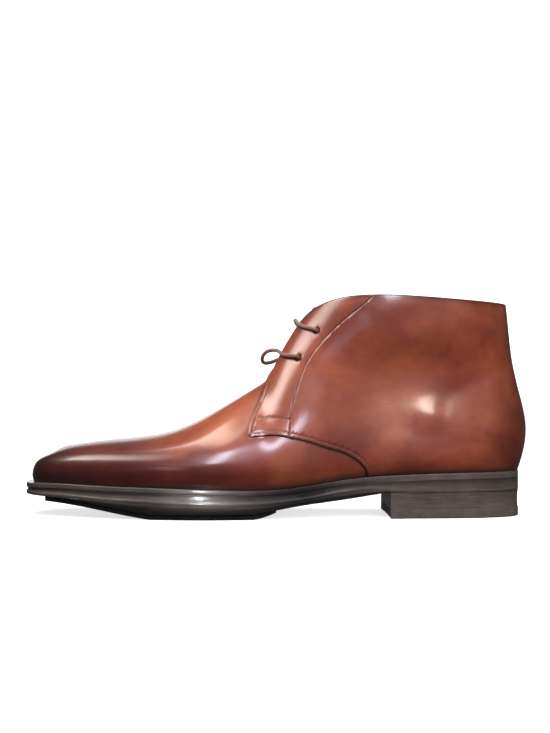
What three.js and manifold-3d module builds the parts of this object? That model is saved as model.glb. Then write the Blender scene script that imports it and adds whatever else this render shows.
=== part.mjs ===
// Chukka boot, left foot, standing on its sole.
// Millimetres. The toe points to -X, the outer side faces -Y and Z is up.
import * as THREE from 'three';
import { mergeVertices } from 'three/addons/utils/BufferGeometryUtils.js';
import Module from 'manifold-3d';

const wasm = await Module();
wasm.setup();

// Driving sizes of the last and upper
const LENGTH = 307.3;
const BALL_WIDTH = 98;
const UPPER_RISE = 109;
const WALL = 1.8;
const QUARTER_STEP = 1.0;
const THROAT_WIDTH = 12;
const EYELET_DIAMETER = 3.8;
const TONGUE_WIDTH = 40;
const TONGUE_THICKNESS = 1.8;

// Driving sizes of the sole
const TOE_SPRING = 10.2;
const HEEL_HEIGHT = 15.5;
const SOLE_THICKNESS = 15;
const EDGE_DEPTH = 9.5;
const UNDERSIDE_BEVEL = 7;
const WELT_PROJECTION = 3.6;
const WELT_THICKNESS = 3.7;
const WELT_WIDTH = 11;
const TREAD_THICKNESS = 2.6;
const TREAD_INSET = 3;
const TOP_LIFT_THICKNESS = 5.4;
const INSOLE_THICKNESS = 2.2;
const HEEL_BREAST = 0.717;

// Driving sizes of the lace
const LACE_DIAMETER = 2.4;
const LACE_SLACK = 7;

// Clearance between pieces that touch in the real boot
const GAP = 0.3;

const TOE_X = -152;

// Plan of the widest line of the upper: along is a share of the length from the toe,
// outer and inner are shares of the ball width from the heel's centre line.
const OUTLINE = [
  { along: 0.000, outer: -0.030, inner: 0.030 },
  { along: 0.009, outer: 0.110, inner: 0.170 },
  { along: 0.039, outer: 0.212, inner: 0.272 },
  { along: 0.088, outer: 0.296, inner: 0.347 },
  { along: 0.153, outer: 0.380, inner: 0.416 },
  { along: 0.218, outer: 0.440, inner: 0.461 },
  { along: 0.293, outer: 0.489, inner: 0.486 },
  { along: 0.358, outer: 0.508, inner: 0.467 },
  { along: 0.430, outer: 0.494, inner: 0.412 },
  { along: 0.520, outer: 0.445, inner: 0.345 },
  { along: 0.618, outer: 0.394, inner: 0.312 },
  { along: 0.722, outer: 0.362, inner: 0.316 },
  { along: 0.820, outer: 0.346, inner: 0.334 },
  { along: 0.885, outer: 0.330, inner: 0.334 },
  { along: 0.957, outer: 0.262, inner: 0.268 },
  { along: 0.986, outer: 0.187, inner: 0.187 },
  { along: 1.000, outer: 0.000, inner: 0.000 },
];

// Crest of the last in side view: rise is a share of the upper's rise above the sole,
// shift is the crest's sideways place as a share of the ball width.
const CREST = [
  { along: 0.084, rise: 0.204, shift: 0.024 },
  { along: 0.140, rise: 0.231, shift: 0.028 },
  { along: 0.221, rise: 0.259, shift: 0.031 },
  { along: 0.303, rise: 0.315, shift: 0.031 },
  { along: 0.384, rise: 0.435, shift: 0.028 },
  { along: 0.423, rise: 0.503, shift: 0.024 },
  { along: 0.456, rise: 0.560, shift: 0.018 },
  { along: 0.478, rise: 0.610, shift: 0.014 },
  { along: 0.495, rise: 0.690, shift: 0.010 },
  { along: 0.514, rise: 0.790, shift: 0.006 },
  { along: 0.534, rise: 0.878, shift: 0.003 },
  { along: 0.553, rise: 0.953, shift: 0.001 },
  { along: 0.579, rise: 1.052, shift: 0.000 },
  { along: 0.612, rise: 1.188, shift: 0.000 },
  { along: 0.664, rise: 1.335, shift: 0.000 },
  { along: 0.739, rise: 1.430, shift: 0.000 },
  { along: 0.820, rise: 1.458, shift: 0.000 },
  { along: 0.870, rise: 1.454, shift: 0.000 },
];

// Shape of each section of the upper. belly is the height of the widest line and tuck the pinch below it, as
// shares of the upper's rise and the ball width. The other columns are shares of the way from crest to belly:
// reach runs outwards and rise upwards.
const SECTIONS = [
  { along: 0.000, belly: 0.046, tuck: 0.008, midReach: 0.885, midRise: 0.42, topReach: 0.560, topRise: 0.690 },
  { along: 0.039, belly: 0.055, tuck: 0.012, midReach: 0.885, midRise: 0.48, topReach: 0.570, topRise: 0.780 },
  { along: 0.104, belly: 0.066, tuck: 0.016, midReach: 0.880, midRise: 0.54, topReach: 0.560, topRise: 0.860 },
  { along: 0.185, belly: 0.083, tuck: 0.020, midReach: 0.875, midRise: 0.55, topReach: 0.550, topRise: 0.870 },
  { along: 0.293, belly: 0.101, tuck: 0.028, midReach: 0.860, midRise: 0.51, topReach: 0.520, topRise: 0.855 },
  { along: 0.377, belly: 0.120, tuck: 0.032, midReach: 0.825, midRise: 0.43, topReach: 0.480, topRise: 0.800 },
  { along: 0.449, belly: 0.137, tuck: 0.035, midReach: 0.795, midRise: 0.37, topReach: 0.475, topRise: 0.755 },
  { along: 0.520, belly: 0.155, tuck: 0.035, midReach: 0.770, midRise: 0.37, topReach: 0.490, topRise: 0.750 },
  { along: 0.560, belly: 0.162, tuck: 0.036, midReach: 0.775, midRise: 0.39, topReach: 0.505, topRise: 0.785 },
  { along: 0.592, belly: 0.165, tuck: 0.036, midReach: 0.795, midRise: 0.39, topReach: 0.555, topRise: 0.800 },
  { along: 0.631, belly: 0.164, tuck: 0.036, midReach: 0.835, midRise: 0.365, topReach: 0.700, topRise: 0.763 },
  { along: 0.674, belly: 0.158, tuck: 0.036, midReach: 0.870, midRise: 0.335, topReach: 0.880, topRise: 0.685 },
  { along: 0.761, belly: 0.158, tuck: 0.035, midReach: 0.895, midRise: 0.31, topReach: 1.050, topRise: 0.620 },
  { along: 0.869, belly: 0.185, tuck: 0.036, midReach: 0.870, midRise: 0.295, topReach: 0.980, topRise: 0.604 },
  { along: 0.957, belly: 0.230, tuck: 0.046, midReach: 0.815, midRise: 0.305, topReach: 0.715, topRise: 0.690 },
  { along: 1.000, belly: 0.266, tuck: 0.049, midReach: 0.788, midRise: 0.310, topReach: 0.591, topRise: 0.741 },
];

// Side of the sole. toeRise and heelRise lift the ground line by shares of the toe spring and heel height.
// body is the depth from the welt's top to the ground line, edge the depth of the visible edge band, bevel the
// rounding under it and project how far the welt stands out, each as a share of its own size.
const SOLE = [
  { along: 0.000, toeRise: 1.00, heelRise: 0.00, body: 0.67, edge: 0.76, bevel: 0.06, project: 1.22 },
  { along: 0.042, toeRise: 0.94, heelRise: 0.00, body: 0.75, edge: 0.82, bevel: 0.22, project: 1.16 },
  { along: 0.111, toeRise: 0.71, heelRise: 0.00, body: 0.89, edge: 0.89, bevel: 0.45, project: 1.08 },
  { along: 0.192, toeRise: 0.28, heelRise: 0.00, body: 1.14, edge: 0.95, bevel: 0.75, project: 1.05 },
  { along: 0.251, toeRise: 0.00, heelRise: 0.00, body: 1.31, edge: 0.98, bevel: 0.92, project: 1.12 },
  { along: 0.348, toeRise: -0.18, heelRise: 0.00, body: 1.38, edge: 1.00, bevel: 1.00, project: 1.10 },
  { along: 0.449, toeRise: -0.01, heelRise: 0.00, body: 1.215, edge: 0.98, bevel: 0.92, project: 0.95 },
  { along: 0.524, toeRise: 0.00, heelRise: 0.27, body: 0.99, edge: 0.92, bevel: 0.72, project: 0.75 },
  { along: 0.605, toeRise: 0.00, heelRise: 0.49, body: 1.00, edge: 0.88, bevel: 0.60, project: 0.62 },
  { along: 0.683, toeRise: 0.00, heelRise: 0.72, body: 0.95, edge: 0.88, bevel: 0.45, project: 0.55 },
  { along: 0.740, toeRise: 0.00, heelRise: 0.90, body: 0.83, edge: 1.05, bevel: 0.06, project: 0.48 },
  { along: 0.859, toeRise: 0.00, heelRise: 1.00, body: 0.80, edge: 1.20, bevel: 0.04, project: 0.36 },
  { along: 1.000, toeRise: 0.00, heelRise: 1.00, body: 0.835, edge: 1.25, bevel: 0.04, project: 0.34 },
];

// Lines drawn on the side of the upper: along is a share of the length, rise a share of the upper's rise
// above the heel seat.
const COLLAR_LINE = [
  { along: 0.500, rise: 0.710 },
  { along: 0.540, rise: 0.824 },
  { along: 0.563, rise: 0.890 },
  { along: 0.580, rise: 0.925 },
  { along: 0.602, rise: 0.952 },
  { along: 0.630, rise: 0.973 },
  { along: 0.667, rise: 0.984 },
  { along: 0.722, rise: 0.984 },
  { along: 0.836, rise: 0.964 },
  { along: 0.962, rise: 0.938 },
  { along: 1.040, rise: 0.921 },
];
const QUARTER_FRONT = [
  { along: 0.487, rise: 0.590 },
  { along: 0.477, rise: 0.499 },
  { along: 0.468, rise: 0.431 },
  { along: 0.458, rise: 0.363 },
  { along: 0.450, rise: 0.306 },
  { along: 0.445, rise: 0.253 },
  { along: 0.443, rise: 0.213 },
];
const QUARTER_FOOT = [
  { along: 0.447, rise: 0.196 },
  { along: 0.468, rise: 0.201 },
  { along: 0.489, rise: 0.207 },
  { along: 0.523, rise: 0.194 },
  { along: 0.560, rise: 0.172 },
  { along: 0.598, rise: 0.137 },
  { along: 0.630, rise: 0.109 },
  { along: 0.653, rise: 0.073 },
  { along: 0.670, rise: 0.029 },
  { along: 0.678, rise: -0.060 },
];
const EYELETS = [
  { along: 0.541, rise: 0.638 },
  { along: 0.577, rise: 0.789 },
];
const THROAT_FOOT = 0.515;
const TONGUE_FOOT = 0.470;
const TONGUE_TOP = 0.930;

// Natural cubic spline through the given places and values
function spline(places, values) {
  const count = places.length;
  const bend = new Array(count).fill(0);
  const carry = new Array(count).fill(0);
  for (let i = 1; i < count - 1; i += 1) {
    const before = places[i] - places[i - 1];
    const after = places[i + 1] - places[i];
    const ratio = before / (before + after);
    const pivot = ratio * bend[i - 1] + 2;
    const change = (values[i + 1] - values[i]) / after - (values[i] - values[i - 1]) / before;
    bend[i] = (ratio - 1) / pivot;
    carry[i] = ((6 * change) / (before + after) - ratio * carry[i - 1]) / pivot;
  }
  const curve = new Array(count).fill(0);
  for (let i = count - 2; i > 0; i -= 1) {
    curve[i] = bend[i] * curve[i + 1] + carry[i];
  }
  return (place) => {
    let i = 0;
    while (i < count - 2 && place > places[i + 1]) {
      i += 1;
    }
    const width = places[i + 1] - places[i];
    const a = (places[i + 1] - place) / width;
    const b = 1 - a;
    const sag = ((a ** 3 - a) * curve[i] + (b ** 3 - b) * curve[i + 1]) * (width ** 2 / 6);
    return a * values[i] + b * values[i + 1] + sag;
  };
}

// One smooth function for each column of a table, by the share of the length
function columns(table) {
  const places = table.map((row) => row.along);
  const first = places[0];
  const last = places[places.length - 1];
  const curves = {};
  for (const name of Object.keys(table[0])) {
    const curve = spline(places, table.map((row) => row[name]));
    curves[name] = (along) => curve(Math.min(Math.max(along, first), last));
  }
  return curves;
}

const crest = columns(CREST);
const section = columns(SECTIONS);
const sole = columns(SOLE);

const xAt = (along) => TOE_X + along * LENGTH;
const alongAt = (x) => (x - TOE_X) / LENGTH;

// Heights of the sole at a place along the boot
const groundCurve = (along) => sole.toeRise(along) * TOE_SPRING + sole.heelRise(along) * HEEL_HEIGHT;
const soleTop = (along) => groundCurve(along) + sole.body(along) * SOLE_THICKNESS;
const treadGround = (along) => Math.max(groundCurve(along), 0);
const outsoleGround = (along) => Math.min(treadGround(along) + TREAD_THICKNESS, HEEL_HEIGHT) + GAP;
const seatHeight = soleTop(1);
const riseAt = (rise) => seatHeight + rise * UPPER_RISE;

// Plan outline of the upper. turn runs from 0 at the toe tip to 1 at the back of the heel and is spread so that
// stations lie closest at both ends; side is -1 on the outer side and 1 on the inner side.
const alongOfTurn = (turn) => (1 - Math.cos(Math.PI * turn)) / 2;
const turnOfAlong = (along) => Math.acos(1 - 2 * along) / Math.PI;
const WRAPPED_ROWS = 4;
function outlineCurve() {
  const outer = OUTLINE.map((row) => [turnOfAlong(row.along), -row.outer]);
  const inner = OUTLINE.map((row) => [-turnOfAlong(row.along), row.inner]).reverse();
  const closed = [...inner, ...outer.slice(1)];
  const before = closed.slice(-1 - WRAPPED_ROWS, -1).map(([turn, y]) => [turn - 2, y]);
  const after = closed.slice(1, 1 + WRAPPED_ROWS).map(([turn, y]) => [turn + 2, y]);
  const rows = [...before, ...closed, ...after];
  return spline(rows.map((row) => row[0]), rows.map((row) => row[1]));
}
const outlineShare = outlineCurve();
const outlineY = (turn, side) => outlineShare(-side * turn) * BALL_WIDTH;

// The crest point that each section rises to: sections fan out round the toe and the heel
const TOE_FAN = { reach: 0.186, hold: 0.45 };
const HEEL_FAN = { reach: 0.228, hold: 0.57 };
function crestAlong(along) {
  if (along < TOE_FAN.reach) {
    const share = along / TOE_FAN.reach;
    return TOE_FAN.reach * (share + TOE_FAN.hold * (1 - share) ** 2);
  }
  if (along > 1 - HEEL_FAN.reach) {
    const share = (1 - along) / HEEL_FAN.reach;
    return 1 - HEEL_FAN.reach * (share + HEEL_FAN.hold * (1 - share) ** 2);
  }
  return along;
}
const crestHeight = (along) => soleTop(along) + crest.rise(along) * UPPER_RISE;
const SLOPE_STEP = 0.004;
function crestSlope(along) {
  const rise = crestHeight(along + SLOPE_STEP) - crestHeight(along - SLOPE_STEP);
  return rise / (2 * SLOPE_STEP * LENGTH);
}

// The level points of one section, from the feather line up to the crest
function sectionAt(turn, side) {
  const along = alongOfTurn(turn);
  const edge = new THREE.Vector3(xAt(along), outlineY(turn, side), 0);
  const top = crestAlong(along);
  const crown = new THREE.Vector3(xAt(top), crest.shift(top) * BALL_WIDTH, crestHeight(top));
  const out = new THREE.Vector3(edge.x - crown.x, edge.y - crown.y, 0);
  const reach = out.length();
  out.normalize();
  const foot = soleTop(along) + GAP;
  const belly = foot + section.belly(along) * UPPER_RISE;
  const point = (distance, height) => new THREE.Vector3(
    crown.x + out.x * distance,
    crown.y + out.y * distance,
    height,
  );
  const rise = (amount) => belly + amount * (crown.z - belly);
  const topPoint = point(reach * section.topReach(along), rise(section.topRise(along)));
  const levels = [
    point(reach - section.tuck(along) * BALL_WIDTH, foot),
    point(reach, belly),
    point(reach * section.midReach(along), rise(section.midRise(along))),
    topPoint,
    crown,
  ];
  const roundness = 1.25;
  const run = -topPoint.distanceTo(new THREE.Vector3(crown.x, crown.y, topPoint.z)) * roundness;
  const tangent = new THREE.Vector3(out.x * run, out.y * run, crestSlope(top) * out.x * run);
  return { levels, tangent, foot };
}

// Point on a section at a level: 0 is the feather line and 4 the crest
function clampedLevels(levels, tangent) {
  const count = levels.length;
  const fit = (axis) => {
    const values = levels.map((level) => level[axis]);
    const upper = new Array(count).fill(0);
    const right = new Array(count).fill(0);
    for (let i = 1; i < count - 1; i += 1) {
      const pivot = 4 - upper[i - 1];
      upper[i] = 1 / pivot;
      right[i] = (6 * (values[i + 1] - 2 * values[i] + values[i - 1]) - right[i - 1]) / pivot;
    }
    const last = count - 1;
    const curve = new Array(count).fill(0);
    const end = 6 * (tangent[axis] - (values[last] - values[last - 1]));
    curve[last] = (end - right[last - 1]) / (2 - upper[last - 1]);
    for (let i = last - 1; i > 0; i -= 1) {
      curve[i] = right[i] - upper[i] * curve[i + 1];
    }
    return (level) => {
      const i = Math.min(Math.floor(level), count - 2);
      const b = level - i;
      const a = 1 - b;
      const sag = ((a ** 3 - a) * curve[i] + (b ** 3 - b) * curve[i + 1]) / 6;
      return a * values[i] + b * values[i + 1] + sag;
    };
  };
  const x = fit('x');
  const y = fit('y');
  const z = fit('z');
  return (level) => new THREE.Vector3(x(level), y(level), z(level));
}

// Closed geometry and solids
function geometryOf(positions, triangles) {
  const geometry = new THREE.BufferGeometry();
  geometry.setAttribute('position', new THREE.Float32BufferAttribute(positions, 3));
  geometry.setIndex(triangles);
  return geometry;
}
function solidOf(geometry) {
  const bare = geometry.clone();
  bare.deleteAttribute('normal');
  bare.deleteAttribute('uv');
  const merged = mergeVertices(bare, 1e-4);
  const solid = new wasm.Manifold(new wasm.Mesh({
    numProp: 3,
    vertProperties: new Float32Array(merged.attributes.position.array),
    triVerts: new Uint32Array(merged.index.array),
  }));
  return solid;
}
function geometryFrom(solid) {
  const mesh = solid.getMesh();
  return geometryOf(Array.from(mesh.vertProperties), Array.from(mesh.triVerts));
}

// Levels at which the form of the upper is sampled, and the stations on each side from toe tip to heel
const LEVEL_STEPS = [0, 0.3, 0.65, 1, 1.3, 1.6, 1.9, 2.2, 2.5, 2.8, 3.1, 3.35, 3.6, 3.8, 4];
const STATION_STEPS = 42;

// A ring goes round the boot: the outer side from toe tip to heel back, then the inner side to the toe again
const RING_SIZE = 2 * STATION_STEPS;
const ring = [];
for (let k = 0; k <= STATION_STEPS; k += 1) {
  ring.push({ turn: k / STATION_STEPS, side: -1 });
}
for (let k = STATION_STEPS - 1; k > 0; k -= 1) {
  ring.push({ turn: k / STATION_STEPS, side: 1 });
}
const partner = (i) => (RING_SIZE - i) % RING_SIZE;

const stations = ring.map(({ turn, side }) => {
  const { levels, tangent, foot } = sectionAt(turn, side);
  return { place: clampedLevels(levels, tangent), foot };
});

function sideFaces(lower, upper) {
  const faces = [];
  for (let i = 0; i < RING_SIZE; i += 1) {
    const next = (i + 1) % RING_SIZE;
    faces.push(lower(i), lower(next), upper(next));
    faces.push(lower(i), upper(next), upper(i));
  }
  return faces;
}
function capFaces(index, facingUp) {
  const faces = [];
  const add = (a, b, c) => (facingUp ? faces.push(a, b, c) : faces.push(a, c, b));
  for (let i = 0; i < STATION_STEPS; i += 1) {
    if (i > 0) {
      add(index(i), index(i + 1), index(partner(i)));
    }
    if (i < STATION_STEPS - 1) {
      add(index(i + 1), index(partner(i + 1)), index(partner(i)));
    }
  }
  return faces;
}

// The bare surface of the upper, with its vertex normals
function upperSurface() {
  const crownLevel = LEVEL_STEPS.length - 1;
  const positions = [];
  for (const level of LEVEL_STEPS.slice(0, -1)) {
    for (const station of stations) {
      positions.push(...station.place(level).toArray());
    }
  }
  for (const station of stations.slice(0, STATION_STEPS + 1)) {
    positions.push(...station.place(LEVEL_STEPS[crownLevel]).toArray());
  }
  const crownIndex = (i) => crownLevel * RING_SIZE + Math.min(i, RING_SIZE - i);
  const triangles = [];
  for (let j = 0; j < crownLevel; j += 1) {
    const lower = (i) => j * RING_SIZE + i;
    const upper = j + 1 === crownLevel ? crownIndex : (i) => (j + 1) * RING_SIZE + i;
    triangles.push(...sideFaces(lower, upper));
  }
  const geometry = geometryOf(positions, triangles);
  geometry.computeVertexNormals();
  return geometry;
}
const surface = upperSurface();

// Closed form of the upper, moved out by an offset and lengthened below by a drop
function lump(offset, drop) {
  const positions = [];
  const base = surface.attributes.position;
  const normals = surface.attributes.normal;
  for (let v = 0; v < base.count; v += 1) {
    const point = new THREE.Vector3().fromBufferAttribute(base, v);
    const normal = new THREE.Vector3().fromBufferAttribute(normals, v);
    const onFeather = v < RING_SIZE;
    if (onFeather) {
      normal.setZ(0).normalize();
    }
    point.addScaledVector(normal, offset);
    if (!onFeather) {
      point.z = Math.max(point.z, stations[v % RING_SIZE].foot + GAP);
    }
    positions.push(...point.toArray());
  }
  const triangles = Array.from(surface.index.array);
  const dropStart = positions.length / 3;
  for (let i = 0; i < RING_SIZE; i += 1) {
    positions.push(positions[3 * i], positions[3 * i + 1], positions[3 * i + 2] - drop);
  }
  triangles.push(...sideFaces((i) => dropStart + i, (i) => i));
  triangles.push(...capFaces((i) => dropStart + i, false));
  return solidOf(geometryOf(positions, triangles));
}

// Prisms that cut the forms: one looks along Y, the other along X
const REACH = 400;
const alongY = new THREE.Matrix4().makeBasis(
  new THREE.Vector3(1, 0, 0),
  new THREE.Vector3(0, 0, 1),
  new THREE.Vector3(0, -1, 0),
);
const alongX = new THREE.Matrix4().makeBasis(
  new THREE.Vector3(0, 1, 0),
  new THREE.Vector3(0, 0, 1),
  new THREE.Vector3(1, 0, 0),
);
function sidePrism(points) {
  const shape = new THREE.Shape(points.map(([x, z]) => new THREE.Vector2(x, z)));
  const geometry = new THREE.ExtrudeGeometry(shape, { depth: REACH, bevelEnabled: false });
  geometry.applyMatrix4(alongY);
  geometry.translate(0, REACH / 2, 0);
  return solidOf(geometry);
}
function frontPrism(points, fromX, toX) {
  const shape = new THREE.Shape(points.map(([y, z]) => new THREE.Vector2(y, z)));
  const geometry = new THREE.ExtrudeGeometry(shape, { depth: toX - fromX, bevelEnabled: false });
  geometry.applyMatrix4(alongX);
  geometry.translate(fromX, 0, 0);
  return solidOf(geometry);
}
const linePoints = (line) => line.map((row) => [xAt(row.along), riseAt(row.rise)]);

// Upper: one shell whose wall is stepped where the quarters lie over the vamp
const INNER_DROP = 6;
const COLLAR_MARGIN = 60;
const QUARTER_MARGIN = 10;
const THROAT_SPAN = { from: 0.36, to: 0.70 };
const CORNER_STEPS = 8;
function makeUpper() {
  const quarterArea = sidePrism([
    [xAt(0) - REACH, riseAt(QUARTER_FRONT[0].rise) + QUARTER_MARGIN],
    ...linePoints(QUARTER_FRONT),
    ...linePoints(QUARTER_FOOT),
    [xAt(1) + REACH, -REACH],
    [xAt(1) + REACH, REACH],
    [xAt(0) - REACH, REACH],
  ]);
  const aboveCollar = sidePrism([
    [xAt(COLLAR_LINE[0].along) - REACH, riseAt(COLLAR_LINE[0].rise) + COLLAR_MARGIN],
    ...linePoints(COLLAR_LINE),
    [xAt(1) + REACH, riseAt(COLLAR_LINE[COLLAR_LINE.length - 1].rise)],
    [xAt(1) + REACH, REACH],
    [xAt(0) - REACH, REACH],
  ]);
  const halfThroat = THROAT_WIDTH / 2;
  const throatFoot = riseAt(THROAT_FOOT);
  const throatPoints = [[halfThroat, REACH], [-halfThroat, REACH]];
  for (let i = 0; i <= CORNER_STEPS; i += 1) {
    const angle = Math.PI * (1 + i / CORNER_STEPS);
    throatPoints.push([
      halfThroat * Math.cos(angle),
      throatFoot + halfThroat + halfThroat * Math.sin(angle),
    ]);
  }
  const throat = frontPrism(throatPoints, xAt(THROAT_SPAN.from), xAt(THROAT_SPAN.to));
  let solid = lump(0, 0).add(lump(QUARTER_STEP, 0).intersect(quarterArea));
  solid = solid.subtract(lump(-WALL, INNER_DROP));
  solid = solid.subtract(aboveCollar);
  solid = solid.subtract(throat);
  for (const eyelet of eyeletPlaces) {
    solid = solid.subtract(eyeletHole(eyelet));
  }
  return geometryFrom(solid);
}

// Places on the outside of the quarters, found by looking along a line at the raised form
function probe(offset) {
  const target = new THREE.Mesh(geometryFrom(lump(offset, 0)));
  const ray = new THREE.Raycaster();
  return (origin, direction) => {
    ray.set(origin, direction);
    const hit = ray.intersectObject(target)[0];
    return { point: hit.point, normal: hit.face.normal };
  };
}
const onQuarter = probe(QUARTER_STEP);
const eyeletPlaces = [];
for (const row of EYELETS) {
  for (const side of [-1, 1]) {
    const origin = new THREE.Vector3(xAt(row.along), side * REACH, riseAt(row.rise));
    eyeletPlaces.push(onQuarter(origin, new THREE.Vector3(0, -side, 0)));
  }
}
const EYELET_SIDES = 14;
const HOLE_DEPTH = 4 * (WALL + QUARTER_STEP);
function eyeletHole({ point, normal }) {
  const radius = EYELET_DIAMETER / 2;
  const geometry = new THREE.CylinderGeometry(radius, radius, HOLE_DEPTH, EYELET_SIDES);
  const turn = new THREE.Quaternion().setFromUnitVectors(new THREE.Vector3(0, 1, 0), normal);
  geometry.applyQuaternion(turn);
  geometry.translate(point.x, point.y, point.z);
  return solidOf(geometry);
}

// Tongue: a leaf behind the throat, cut from the form that fills the upper. Foot and top are shares of its
// half width, and corner is how far the top corners are cut down.
const TONGUE_SHAPE = { foot: 0.80, top: 0.85, corner: 0.25 };
const TONGUE_SPAN = { from: 0.30, to: 0.66 };
function makeTongue() {
  const half = TONGUE_WIDTH / 2;
  const shoulder = riseAt(TONGUE_TOP) - half * TONGUE_SHAPE.corner;
  const leaf = frontPrism([
    [-half * TONGUE_SHAPE.foot, riseAt(TONGUE_FOOT)],
    [half * TONGUE_SHAPE.foot, riseAt(TONGUE_FOOT)],
    [half, shoulder],
    [half * TONGUE_SHAPE.top, riseAt(TONGUE_TOP)],
    [-half * TONGUE_SHAPE.top, riseAt(TONGUE_TOP)],
    [-half, shoulder],
  ], xAt(TONGUE_SPAN.from), xAt(TONGUE_SPAN.to));
  const outside = lump(-(WALL + GAP), 0);
  const inside = lump(-(WALL + GAP + TONGUE_THICKNESS), 0);
  return geometryFrom(outside.subtract(inside).intersect(leaf));
}

// Plan of the sole's edge, measured inwards from the edge of the welt
const featherRing = stations.map((station) => station.place(0));
const edgeNormals = featherRing.map((point, i) => {
  const before = featherRing[(i + RING_SIZE - 1) % RING_SIZE];
  const after = featherRing[(i + 1) % RING_SIZE];
  return new THREE.Vector3(after.y - before.y, before.x - after.x, 0).normalize();
});
function soleRing(inset, height) {
  return featherRing.map((point, i) => {
    const along = alongOfTurn(ring[i].turn);
    const out = sole.project(along) * WELT_PROJECTION - inset(along);
    const place = point.clone().addScaledVector(edgeNormals[i], out);
    const own = Math.min(Math.max(alongAt(place.x), 0), 1);
    place.z = height(own);
    return place;
  });
}

// Solid layer from a stack of rings listed upwards
function layer(rings) {
  const positions = rings.flat().flatMap((point) => point.toArray());
  const triangles = [];
  for (let j = 0; j < rings.length - 1; j += 1) {
    triangles.push(...sideFaces((i) => j * RING_SIZE + i, (i) => (j + 1) * RING_SIZE + i));
  }
  triangles.push(...capFaces((i) => i, false));
  triangles.push(...capFaces((i) => (rings.length - 1) * RING_SIZE + i, true));
  return geometryOf(positions, triangles);
}

// Solid strip that runs round the boot, from a closed loop of rings
function strip(rings) {
  const positions = rings.flat().flatMap((point) => point.toArray());
  const triangles = [];
  for (let j = 0; j < rings.length; j += 1) {
    const above = (j + 1) % rings.length;
    triangles.push(...sideFaces((i) => j * RING_SIZE + i, (i) => above * RING_SIZE + i));
  }
  return geometryOf(positions, triangles);
}
const fixed = (value) => () => value;

// Welt: its edge stands out as a lip over a groove
const LIP_ROUNDING = 0.6;
const GROOVE_DEPTH = 0.8;
const GROOVE_END = { from: 0.60, to: 0.74 };
function groove(along) {
  const share = (along - GROOVE_END.from) / (GROOVE_END.to - GROOVE_END.from);
  return GROOVE_DEPTH * (1 - Math.min(Math.max(share, 0), 1));
}
function makeWelt() {
  const down = (depth) => (along) => soleTop(along) - depth;
  return strip([
    soleRing(groove, down(WELT_THICKNESS)),
    soleRing(groove, down(WELT_THICKNESS - LIP_ROUNDING)),
    soleRing(fixed(0), down(WELT_THICKNESS - 2 * LIP_ROUNDING)),
    soleRing(fixed(0), down(LIP_ROUNDING)),
    soleRing(fixed(LIP_ROUNDING), down(0)),
    soleRing(fixed(WELT_WIDTH), down(0)),
    soleRing(fixed(WELT_WIDTH), down(WELT_THICKNESS)),
  ]);
}

// Outsole: groove and lower lip on the edge, and a rounded underside down to the ground face.
// Inset is a share of the bevel and rise a share of the way from the ground face to the lip.
const UNDER_ROUNDING = [
  { inset: 1.00, rise: 0.00 },
  { inset: 0.68, rise: 0.22 },
  { inset: 0.34, rise: 0.60 },
];
function makeOutsole() {
  const top = (along) => soleTop(along) - WELT_THICKNESS - GAP;
  const under = outsoleGround;
  const lip = (along) => Math.max(soleTop(along) - sole.edge(along) * EDGE_DEPTH, under(along) + GAP);
  const lipTop = (along) => Math.min(lip(along) + 3 * LIP_ROUNDING, top(along) - 2 * GAP);
  const grooveFoot = (along) => Math.min(lipTop(along) + LIP_ROUNDING, top(along) - GAP);
  const bevel = (share) => (along) => sole.bevel(along) * UNDERSIDE_BEVEL * share;
  const between = (share) => (along) => under(along) + share * (lip(along) - under(along));
  return layer([
    ...UNDER_ROUNDING.map(({ inset, rise }) => soleRing(bevel(inset), between(rise))),
    soleRing(fixed(LIP_ROUNDING / 3), lip),
    soleRing(fixed(0), (along) => (lip(along) + lipTop(along)) / 2),
    soleRing(fixed(0), lipTop),
    soleRing(groove, grooveFoot),
    soleRing(groove, top),
  ]);
}

// Forepart tread: a thin sheet with its own front and back ends
const TREAD_FRONT = 0.020;
const TREAD_BACK = 0.497;
const TREAD_TAPER = { reach: 0.040, rise: 1.6 };
const TREAD_EDGE = { foot: 0.55, middle: 0.25, top: 0.15 };
const TREAD_NOSE = { halfWidth: 0.60, side: 0.35, middle: -0.25 };
function makeTread() {
  const top = (along) => treadGround(along) + TREAD_THICKNESS;
  const taper = (along) => {
    const share = Math.max((along - TREAD_BACK) / TREAD_TAPER.reach + 1, 0);
    return TREAD_TAPER.rise * Math.min(share, 1) ** 2;
  };
  const ground = (along) => treadGround(along) + taper(along);
  const inset = (extra) => (along) => sole.bevel(along) * UNDERSIDE_BEVEL + TREAD_INSET * extra;
  const sheet = solidOf(layer([
    soleRing(inset(TREAD_EDGE.foot), ground),
    soleRing(inset(TREAD_EDGE.middle), (along) => (ground(along) + top(along)) / 2),
    soleRing(inset(TREAD_EDGE.top), top),
  ]));
  const halfWidth = TREAD_NOSE.halfWidth * BALL_WIDTH;
  const front = xAt(TREAD_FRONT);
  const back = xAt(TREAD_BACK);
  const span = new THREE.Shape();
  const side = front + halfWidth * TREAD_NOSE.side;
  span.moveTo(side, -halfWidth);
  span.quadraticCurveTo(front + halfWidth * TREAD_NOSE.middle, 0, side, halfWidth);
  span.lineTo(back, halfWidth);
  span.lineTo(back, -halfWidth);
  const prism = new THREE.ExtrudeGeometry(span, { depth: REACH, bevelEnabled: false, curveSegments: 8 });
  prism.translate(0, 0, -REACH / 2);
  return geometryFrom(sheet.intersect(solidOf(prism)));
}

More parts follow.
